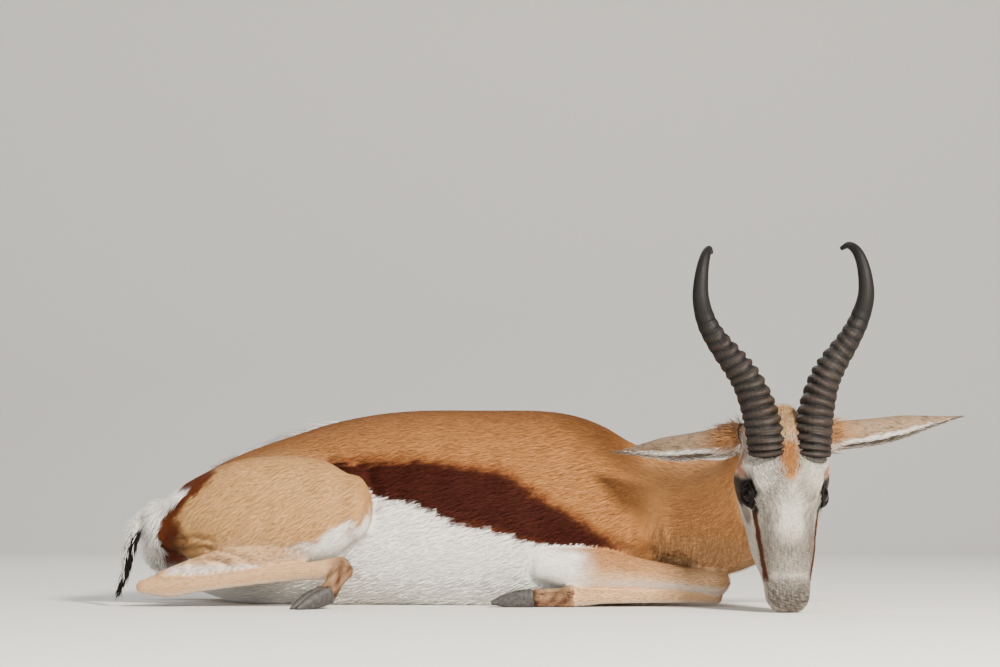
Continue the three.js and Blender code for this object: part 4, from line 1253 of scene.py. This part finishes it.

# %% [markdown]
# The rump is white with a brown edge that runs down the back of the thigh, and the haunch turns
# white again where it rests on the ground. Thin lines of painted shade mark the creases of the folded
# leg.

# %% Haunch, rump and tail
REAR_LINE = [(0, -345), (42, -345), (64, -346), (78, -346), (104, -341), (121, -329), (133, -311),
             (150, -294)]  # Z and X, where the brown of the rear meets the white of the rump
CREASE_SHADE_LINES = [  # lines in X and Z where hide folds on itself, each painted with a thin dark line of shade
    [(-292, 74), (-268, 60), (-245, 55), (-208, 45)], [(-300, 54), (-275, 57), (-245, 51)],
    [(-318, 62), (-298, 73), (-280, 82)],
]
white_foot = (x + 200) * 0.46 + 54 - z + 5 * wobble
groin = (thigh | is_part("shank")) & near_side
rear = (trunk | thigh) & (x < -220)
ahead = x - np.interp(z, *zip(*REAR_LINE)) - 4 * wobble
rear_wide = 24 + 22 * ease(120, 70, z)
rear_white = rear * ease(3, -1, ahead + 2.5 * wobble) * ease(142, 128, z)
colour = paint(
    colour,
    (WHITE, on_haunch * thigh * ease(-9, 9, white_foot) * ease(-232, -208, x)),
    (WHITE, far_thigh * 0.8 * ease(0.3, 0.75, share) * ease(0.2, -0.3, skin_normals[:, 1])),
    (GROIN, groin * ease(52, 46, z) * ease(-332, -318, x) * ease(-205, -225, x)),
    (REAR_BROWN, rear * ease(rear_wide, rear_wide * 0.5, ahead) * ease(30, 52, z)
     * ease(186, 160, z)),
    (TEMPLE_RUST, trunk * 0.5 * ease(26, 8, from_back) * ease(0.36, 0.22, share)),
    (WHITE, rear_white),
)
# Painted shade: a thin dark line along each crease of the folded leg.
for line in CREASE_SHADE_LINES:
    away, along = near_line(flat, line)
    fade = ease(0, 0.2, along) * ease(1, 0.7, along)
    colour = paint(colour, (STRIPE_BROWN_AND_CREASE_SHADE, near_side * ~neck * 0.55 * fade * np.exp(-(away / 1.3) ** 2)))
colour = paint(
    colour,
    (WHITE, tail * ease(0.5, 0.3, share)),
    (TAIL_BLACK, tail * ease(0.3, 0.5, share)),
    (WHITE, neck * ease(160, 172, from_back + 3 * wobble) * ease(0.45, 0.6, share) * ~near_side),
)

# %% [markdown]
# The face is marked in the head's own frame, so that left and right mirror: hx across, hy back,
# hz up from the muzzle. Strands and grizzle are fine noise that mixes dark hairs into the pale.

# %% Places on the face
hx, hy, hz = head_in(skin_points).T
side_x = np.abs(hx)
grizzle = np.clip(0.5 + 0.5 * mottle(skin_points, 2.4, 9), 0, 1)
strands = np.clip(0.5 + 0.6 * mottle(np.stack([hx, hy, hz * 0.3], 1), 1.7, 17), 0, 1)
bridge = ease(17, 8, side_x + 1.5 * wobble) * ease(62, 84, hz)
grey_side = (1 - bridge) * ease(142, 126, hz) * ease(60, 84, hz) * ease(-20, -32, hy)
# Painted shade on the brow between the eyes, broken into streaks where it is laid on.
painted_brow_shade = ease(118, 130, hz) * ease(166, 150, hz) * ease(30, 10, side_x)
patch_half = np.interp(hz, [144, 149, 154, 161, 172, 190, 204], [0, 5, 8, 10, 11, 13, 44])
patch = ease(1.8, -1.8, side_x - patch_half + 0.8 * wobble) * (hz > 141) * ease(194, 178, hz)
patch_rim = np.exp(-((side_x - patch_half - 1.5) / 2.4) ** 2)
patch_rim *= ease(150, 160, hz) * ease(178, 168, hz)
cheek = ease(18, 24, side_x) * ease(26, 40, hz) * ease(116, 100, hz)
inner_cheek = ease(13, 24, side_x) * ease(32, 60, hz) * ease(128, 104, hz) * ease(-30, -38, hy)
peppered = ease(0.45, 0.85, mottle(skin_points, 1.5, 23)) * ease(84, 66, hz) * ease(-24, -36, hy)
pale_ring = np.exp(-((hz - 41) / 4) ** 2) * ease(-34, -42, hy)
temple = np.exp(-(((hy + 9 + 0.2 * (hz - 150)) / 9) ** 2)) * ease(142, 156, hz) * ease(190, 174, hz)
# Painted shade on the side of the head, below the eye and behind it.
shade_below_eye = ease(15, 9, np.hypot(hy + 6, (hz - 112) * 0.8)) * (side_x > 25)
shade_behind_eye = ease(1.25, 0.8, np.hypot((hy + 1) / 15, (hz - 135) / 17)) * (side_x > 34)
behind_horn = np.exp(-(((hy - 2) / 13) ** 2 + ((hz - 202) / 12) ** 2)) * (side_x > 26)

# %% Face stripe and bare skin
STRIPE_LINE = [(36, 112), (34.3, 102), (32, 85), (30, 69), (27.2, 52), (24.6, 36)]  # X and Z
GLAND_AT, GLAND_HALF = np.array([40, -31, 110]), (8, 10, 11)
stripe, dark = np.zeros(len(hx)), np.zeros(len(hx))
local = head_in(skin_points)
for way in (1, -1):
    away, _ = near_line(local[:, [0, 2]], np.array(STRIPE_LINE) * (way, 1))
    stripe = np.maximum(stripe, ease(2.7, 1.1, away + 0.35 * wobble) * (hy < -10))
    beside = ease(1.9, 1.5, slit_place(local, way)[0]) * (side_x > 20) * (hx * way > 0)
    gland = np.linalg.norm((local - GLAND_AT * (way, 1, 1)) / GLAND_HALF, axis=1)
    dark = np.maximum(dark, np.maximum(beside * ease(157, 145, hz), ease(1.15, 0.8, gland)))

# %% Head
mark = paint(
    np.broadcast_to(FACE_WHITE, colour.shape),
    (NECK_TAN, ease(12, 32, hy + 1.5 * wobble) * ease(84, 112, hz - 0.3 * hy)),
    (CROWN_TAN, 0.9 * ease(180, 196, hz) * ease(20, 16, side_x)),
    (MUZZLE, grey_side * (0.2 + 0.65 * strands)),
    # Painted shade between the eyes, in streaks.
    (MUZZLE, painted_brow_shade * (0.05 + 0.6 * strands)),
    (FOREHEAD, patch),
    (STRIPE_BROWN_AND_CREASE_SHADE, 0.65 * patch_rim * (0.4 + 0.6 * strands)),
    (MUZZLE, ease(98, 66, hz) * ease(-16, -36, hy) * (0.5 + 0.45 * grizzle)),
    (MUZZLE, cheek * (0.12 + 0.4 * grizzle)),
    (BARE_DARK, 0.5 * peppered),
    (FACE_WHITE, 0.55 * pale_ring),
    (MUZZLE, 0.5 * inner_cheek * (0.5 + 0.5 * grizzle)),
    (TEMPLE_RUST, 0.9 * temple * (side_x > 30)),
    # Painted shade below and behind the eye.
    (MUZZLE, 0.8 * shade_below_eye),
    (BEHIND_EYE_SHADE, 0.92 * shade_behind_eye),
    (STRIPE_BROWN_AND_CREASE_SHADE, stripe),
    (BARE_DARK, dark),
    (NOSE, ease(42, 16, hz) * ease(-30, -42, hy) * (0.45 + 0.5 * grizzle)),
    (TEMPLE_RUST, 0.6 * behind_horn),
)
colour = np.where(head[:, None], mark, colour)
# Painted shade: a thin dark line along the elbow crease, on the near side of the neck.
away, along = near_line(flat, ELBOW_CREASE)
colour = paint(colour, (STRIPE_BROWN_AND_CREASE_SHADE, near_side * neck * 0.6 * along * np.exp(-(away / 1.8) ** 2)))

# %% [markdown]
# Legs are white on the side that faces the ground and tan above, with brown patchy pasterns. The
# back of an ear is grey with dark specks, its rim is white and its root takes the forehead's tan. The
# inside of its cup is grey, partly white hair over dark skin and partly painted shade.

# %% Legs and ears
down = -skin_normals[:, 2]
forearm = is_part("forearm")
patchy = (0.75 + 0.25 * mottle(skin_points, 7, 41)) * (1 - 0.45 * ease(0.5, 0.95, -down))
inner, camera_rim = np.zeros(len(x), bool), np.zeros(len(x))
for way, (start, ear_place, inside) in ear_starts.items():
    inner[start:start + len(inside)] = inside
    camera_rim[start:start + len(inside)] = way * ear_place[:, 1] * ~inside
pale_rim = ease(0.84, 0.95, camera_rim + 0.05 * mottle(skin_points, 6, 31)) * ease(0.85, 0.5, share)
specks = ease(0.35, 0.8, mottle(skin_points, 3.2, 21)) * ease(0.1, 0.35, share)
colour = paint(
    colour,
    (TAN, forearm * 0.8 * ease(0.9, 0.4, share) * ease(0.3, -0.3, down)),
    (WHITE, forearm * ease(0.34, 0.18, share + 0.01 * wobble) * ease(-0.75, -0.35, down)),
    (WHITE, is_part("forearm", "shank") * 0.6 * ease(0.15, 0.85, down)),
    (WHITE, is_part("cannon") * 0.35 * ease(0.3, 0.9, down)),
    (PASTERN_BROWN, is_part("pastern") * patchy),
    (PASTERN_BROWN, is_part("cannon_hind") * ease(0.86, 0.98, share) * patchy),
    (EAR_BACK, ears),
    (FOREHEAD, ears * 0.8 * ease(0.35, 0, share)),
    (BARE_DARK, ears * ~inner * 0.55 * specks),
    (BARE_DARK, ears * 0.5 * ease(0.86, 1, share)),
    (WHITE, ears * 0.6 * pale_rim),
    # Painted shade in the ear's cup, over its own grey of white hair on dark skin.
    (EAR_INSIDE_AND_SHADE, ears * inner * 0.9),
)
colour *= (1 + 0.05 * mottle(skin_points, 14, 5) + 0.05 * mottle(skin_points, 5, 6))[:, None]
colour = np.clip(colour, 0, 1)
print("mean colour of the coat:", colour.mean(0).round(3))

# %% [markdown]
# ## The hide under the hair
# Most of what shows of a short coat is hair lying on hair. The skin carries the colours of the
# markings as an attribute, and fine streaks along the lie as colour and bump. The streaks are
# noise stretched in a map of millimetres along and round each form, so they run the right way
# on a leg as on the back. Real hairs are a tenth of a millimetre thick, too fine to show, so
# the streaks are as wide as a lock of them, about one millimetre.

# %% Attributes on the skin
STREAK_WIDTH, STREAK_LENGTH = 1.1, 11.0  # mm
EAR_GIRTH = 60  # mm, an ear's own width opened flat
form_length, form_girth = np.zeros(len(sources)), np.zeros(len(sources))
for i, source in enumerate(sources):
    spans = np.sort(np.ptp(source["points"], axis=0))
    form_length[i] = spans[2]
    form_girth[i] = EAR_GIRTH if source["part"].startswith("ear") else math.pi * (spans[0] + spans[1]) / 2
round_share = np.where(ears, angle / 3, angle / (2 * math.pi))
lie_map = np.stack([share * form_length[part], round_share * form_girth[part], part * 37.0], 1)
bare = np.where(head, dark, 0)
set_attribute(skin, "coat_colour", "FLOAT_COLOR", colour)
set_attribute(skin, "lie_map", "FLOAT_VECTOR", lie_map)
set_attribute(skin, "bare", "FLOAT", bare)

# %% Hide material
hide, tree = material("short_hair_over_hide")
# Dull lengthwise streaks of hair, and a dark wet sheen only where the skin is bare.
coat = add(tree, "Attribute", attribute_name="coat_colour")
mapped = add(tree, "Attribute", attribute_name="lie_map").outputs["Vector"]
bare_part = add(tree, "Attribute", attribute_name="bare").outputs["Fac"]
stretch = add(tree, "VectorMath", {0: mapped, 1: (1 / STREAK_LENGTH, 1 / STREAK_WIDTH, 1)},
              operation="MULTIPLY")
streaks = noise(tree, stretch, 1.0, 4.0, Roughness=0.6)
shade = add(tree, "MapRange", {
    "Value": streaks, "From Min": 0.3, "From Max": 0.7, "To Min": 0.74, "To Max": 1.08})
tone = add(tree, "Mix", {"Factor": 1.0, 6: coat, 7: shade}, data_type="RGBA", blend_type="MULTIPLY")
bump = add(tree, "Bump", {"Height": streaks, "Strength": 0.55, "Distance": 0.0012})
dullness = add(tree, "MapRange", {"Value": bare_part, "To Min": 0.72, "To Max": 0.38})
finish(tree, {
    "Base Color": tone.outputs[2], "Roughness": dullness, "IOR": 1.5, "Specular IOR Level": 0.12,
    "Normal": bump,
})
skin.data.materials.clear()
skin.data.materials.append(hide)
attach(skin, "root")
FLESH = sorted(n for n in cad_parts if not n.startswith(("horn", "hoof", "eye")))
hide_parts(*FLESH)
print("skin stands for", len(FLESH), "solids")

# %% [markdown]
# ## A map for the coat
# Each tuft of hair is coloured by a tiny patch of a map, at the place of its root. The map lays
# out the body as a tailor would: every form is slit along one side and opened flat, and the
# flat pieces are packed in rows on one square.

# %% Packing the opened forms
order = sorted(range(len(sources)), key=lambda i: -form_girth[i])
square = math.sqrt(sum(form_length[i] * form_girth[i] for i in order)) * 1.22
patches, left, low_edge, tall = {}, 0.0, 0.0, 0.0
for i in order:
    if left + form_length[i] > square:
        left, low_edge, tall = 0.0, low_edge + tall, 0.0
    patches[i] = (left / square, low_edge / square, form_length[i] / square, form_girth[i] / square)
    left, tall = left + form_length[i], max(tall, form_girth[i])
assert low_edge + tall <= square * 1.001, "the map is too small"
corner = np.array([patches[i] for i in range(len(sources))])
root_map = corner[part, :2] + np.stack([share, np.clip(round_share, 0, 1)], 1) * corner[part, 2:] * 0.96
print("map fills", round(float(sum(p[2] * p[3] for p in patches.values())), 2), "of its square")

# %% [markdown]
# ## Tufts
# A tuft is a thin closed blade, three-sided, rooted under the skin, that leans over at once and
# lies along the body to its tip. Thousands are built together as arrays: a density spreads the
# roots over the skin, and each one takes its normal, lie, colour and map place from there.

# %% Roots on the skin
skin.data.calc_loop_triangles()
corners = read(skin.data.loop_triangles, "vertices", 3, np.int32)
corner_points = skin_points[corners]
areas = np.linalg.norm(np.cross(corner_points[:, 1] - corner_points[:, 0],
                                corner_points[:, 2] - corner_points[:, 0]), axis=1) / 2


def scatter(density, count):
    """Even random roots on the skin: a triangle and three weights for each. density is per point."""
    weight = areas * density[corners].mean(1)
    steps = (np.arange(count) + chance.random(count)) / count
    face = np.searchsorted(np.cumsum(weight) / weight.sum(), steps)
    face = np.minimum(face, len(areas) - 1)
    a, b = chance.random(count), chance.random(count)
    over = a + b > 1
    a, b = np.where(over, 1 - a, a), np.where(over, 1 - b, b)
    return face, np.stack([1 - a - b, a, b], 1)


def at_roots(values, face, weight):
    picked = values[corners[face]]
    if values.ndim == 1:
        return (picked * weight).sum(1)
    return (picked * weight[..., None]).sum(1)


# %% Blades
TUFT_LIMIT = 190000  # triangles in one piece
HAIR_CLEAR = 0.3  # mm between a hair and the floor
PAINTED_ROOT_SHADE, PAINTED_TIP_LIGHT = 0.86, 0.18  # each tuft is painted with shade at the root, and painted lighter by so much at the tip
MAP_LONG, MAP_WIDE = 0.0026, 0.0012  # a tuft's own patch on the map
RIDGE = 0.3  # how high the back of a blade stands, for half its width


def blade_faces(sections):
    """The triangles of one blade: an end, the sides between its sections, and the tip."""
    faces = [[0, 2, 1]]
    for i in range(sections - 1):
        for k in range(3):
            a, b = 3 * i + k, 3 * i + (k + 1) % 3
            faces += [[a, b, b + 3], [a, b + 3, a + 3]]
    last = 3 * (sections - 1)
    return np.array(faces + [[last + k, last + (k + 1) % 3, last + 3] for k in range(3)])


# %% Tufts from blades
def blades(name, root, normal, along, length, width, lift, sway, tones, maps, shares, sink):
    """Builds tufts as joined closed blades, split into pieces that stay under the limit."""
    across = unit(np.cross(normal, along))
    rings = []
    for level in (*shares, 1):
        rise = lift * length * (level - 0.55 * level ** 2) - sink * (1 - level) ** 2
        centre = (root + along * (length * level)[:, None] + normal * rise[:, None]
                  + across * (sway * length * level ** 2)[:, None])
        half = width / 2 * (0.75 + 0.5 * math.sin(math.pi * min(level * 1.1, 1)))
        half = (half * (1 - max(0.0, level - 0.6) * 1.6))[:, None]
        corners_there = [centre - across * half, centre + normal * half * RIDGE, centre + across * half]
        rings.append(np.stack(corners_there if level < 1 else [centre], 1))
    points = np.concatenate(rings, 1)
    points[..., 2] = np.maximum(points[..., 2], HAIR_CLEAR)
    each, faces = points.shape[1], blade_faces(len(shares))
    level = np.array([*np.repeat(shares, 3), 1.0])
    # Painted shade at the root of each tuft and painted light towards its tip.
    shade = PAINTED_ROOT_SHADE + PAINTED_TIP_LIGHT * level ** 0.7
    on_map = np.stack([(level - 0.5) * MAP_LONG, np.array([-1, 0, 1] * len(shares) + [0]) * MAP_WIDE], 1)
    step = TUFT_LIMIT // len(faces)
    pieces = range(0, len(root), step)
    for number, start in enumerate(pieces):
        some = slice(start, start + step)
        size = len(root[some])
        block = (faces[None] + (np.arange(size) * each)[:, None, None]).reshape(-1, 3)
        piece = mesh_from(f"{name}_{number + 1}", points[some].reshape(-1, 3), block)
        tone = np.clip(tones[some][:, None] * shade[None, :, None], 0, 1).reshape(-1, 3)
        set_attribute(piece, "coat_colour", "FLOAT_COLOR", tone)
        spot = (maps[some][:, None] + on_map).reshape(-1, 2)
        layer = piece.data.uv_layers.new(name="OFBake")
        layer.data.foreach_set("uv", spot[block.ravel()].astype(np.float32).ravel())
        piece.data.materials.append(hair)
        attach(piece, "root")
    return len(pieces)


# %% Hair material
hair, tree = material("guard_hair")
# Hair is keratin like horn, with a soft broken gloss because it is so fine.
tone = add(tree, "Attribute", attribute_name="coat_colour")
finish(tree, {"Base Color": tone, "Roughness": 0.58, "IOR": 1.54, "Specular IOR Level": 0.1})

# %% [markdown]
# The short coat is about a centimetre long on the body and half of that on the face.
# Its many tufts have one section only, since they are too short to bend. A straight tuft would
# sink into a hollow of the body, so it lifts more where the skin is hollow.

# %% Lengths, widths and number by part
LENGTHS = {"trunk": 12, "neck": 13, "thigh": 10, "head": 5, "ear": 6, "tail": 14}
WIDTHS = {"trunk": 0.85, "neck": 0.85, "thigh": 0.78, "head": 0.55, "ear": 0.6, "tail": 0.7}
DENSITY = {"trunk": 0.15, "neck": 0.16, "thigh": 0.17, "head": 0.5, "ear": 0.26, "tail": 0.3}


def by_part(table, other):
    """A number for each point of the skin, by its part, evened out where parts meet."""
    values = np.full(len(skin_points), float(other))
    for start, value in table.items():
        values[is_part(start)] = value
    return even_out(values[:, None], skin_edges, 12)[:, 0]


# How far each point lies below its neighbours' level, in millimetres
hollow = np.sum((even_out(skin_points, skin_edges, 12) - skin_points) * skin_normals, 1)
hollow = np.clip(hollow, 0, 0.8) * (trunk | neck | thigh)


# %% Short coat
TUFTS = 196000


def grow(name, count, where, length, width, lift, towards=None, loose=0.07, tone=None,
         shares=(0, 0.45), vary=0.085, bend=0.06, sink=0.45):
    """Spreads tufts over the skin by a density, lying with the coat or towards a direction."""
    face, weight = scatter(where, count)
    root, normal = at_roots(skin_points, face, weight), unit(at_roots(skin_normals, face, weight))
    along = at_roots(lie if towards is None else np.broadcast_to(towards, lie.shape), face, weight)
    along = along + chance.normal(0, loose, (count, 3))
    along = unit(along - normal * np.sum(along * normal, 1)[:, None])
    length, width = (at_roots(np.broadcast_to(value, len(skin_points)), face, weight)
                     for value in (length, width))
    length = length * chance.uniform(0.72, 1.25, count)
    width = width * chance.uniform(0.75, 1.2, count)
    tones = at_roots(colour, face, weight) if tone is None else np.broadcast_to(tone, (count, 3))
    tones = tones * chance.normal(1, vary, (count, 1)).clip(0.75, 1.25)
    rise = chance.uniform(*lift, count) + 0.4 * at_roots(hollow, face, weight)
    pieces = blades(name, root, normal, along, length, width, rise, chance.normal(0, bend, count),
                    tones, root_map[corners[face, 0]], shares, sink)
    print(name, count, "tufts in", pieces, "pieces")


hair_length = by_part(LENGTHS, 7.5) * (1 - 0.4 * head * ease(95, 20, hz))
density = by_part(DENSITY, 0.3) * (1 - 0.97 * ease(0.3, 0.7, bare)) * (z > 0.9)
grow("short_coat", TUFTS, density, hair_length, by_part(WIDTHS, 0.8), (0.05, 0.15), vary=0.06,
     shares=(0,), sink=0.15)

# %% [markdown]
# ## Long hair
# A springbok has long hair in a few places only: the white fan that lies folded in a crease of
# the back, the fringe of the rump patch, the brush of the tail, the rims and roots of the ears,
# the brow, the throat and the belly. The longest tufts have three sections, so that they bend.

# %% Long hair of the back, the rump and the tail
LONG = (0, 0.3, 0.65)
spine = (np.degrees(angle) % 360 > 86) & (np.degrees(angle) % 360 < 98)
fan = trunk * spine * ease(0.26, 0.3, share) * ease(0.44, 0.41, share)
grow("dorsal_fan", 3000, fan, 72, 1.2, (0.12, 0.3), (-1, 0.02, -0.02), 0.05, WHITE, LONG, bend=0.03)
fringe = rear_white * ease(-296, -312, x)
grow("rump_fringe", 3200, fringe, 24, 1.0, (0.1, 0.42), (-0.6, -0.15, -0.75), 0.16, WHITE, LONG)
brush = tail * ease(0.25, 0.5, share)
grow("tail_brush", 900, brush, 24, 0.8, (0.05, 0.25), None, 0.1, TAIL_BLACK, LONG)
backward = skin_normals[:, 0] < -0.4
flare = tail * (ease(0.5, 0.2, share) + 0.6 * backward) * (skin_normals[:, 0] < 0.3)
grow("tail_sides", 1300, flare, 24, 0.8, (0.2, 0.55), None, 0.2, WHITE, LONG)

# %% Hair of the ears and the face
rims = ears * ease(0.88, 0.98, np.abs(np.where(inner, angle - 2, angle)))
rims *= ease(0.02, 0.12, share) * ease(0.95, 0.6, share)
grow("ear_rims", 1800, rims, 8, 0.4, (0.1, 0.4), None, 0.2, WHITE)
ear_roots = ears * ease(0.16, 0.02, share) + head * np.exp(-(
    ((side_x - 40) / 8) ** 2 + ((hy - 4) / 12) ** 2 + ((hz - 186) / 12) ** 2))
grow("ear_roots", 2200, ear_roots * (skin_normals[:, 1] < 0.2), 17, 0.6, (0.2, 0.7), None, 0.25)
outward = TURN @ np.array([1, 0, 0])
flare = lie * 0.15 + np.sign(hx)[:, None] * outward * 0.8 + (0, 0, 0.7)
front_face = head * ease(-18, -30, hy) * ease(-0.1, 0.4, -skin_normals[:, 1])
forehead = front_face * ease(112, 126, hz) * ease(0.5, 0.2, bare)
grow("forehead_hair", 6500, forehead, 8, 0.6, (0.05, 0.25), flare, 0.2, vary=0.22)
nose_bridge = front_face * ease(128, 114, hz) * ease(14, 24, hz)
grow("nose_hair", 3500, nose_bridge, 5, 0.5, (0.05, 0.2), None, 0.18, vary=0.22)
brow = head * ease(20, 14, side_x) * ease(146, 160, hz) * (hy < 10)
grow("brow_hair", 2600, brow, 11, 0.5, (0.15, 0.5), None, 0.3)

# %% Hair of the throat and the belly
throat = neck * near_side * ease(120, 70, z) * ease(30, 50, z)
grow("neck_fringe", 1500, throat, 16, 0.7, (0.05, 0.2), (-0.3, -0.1, -1), 0.15)
underside = trunk * ease(46, 20, z) * ease(-260, -200, x) * (z > 2)
grow("belly_hair", 3000, underside, 19, 1.1, (0.1, 0.35), None, 0.12)

# %% Sizes and finish
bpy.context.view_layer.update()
triangles = sum(len(o.data.loop_triangles) or sum(len(f.vertices) - 2 for f in o.data.polygons)
                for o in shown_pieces())
print("triangles in the whole model:", triangles)
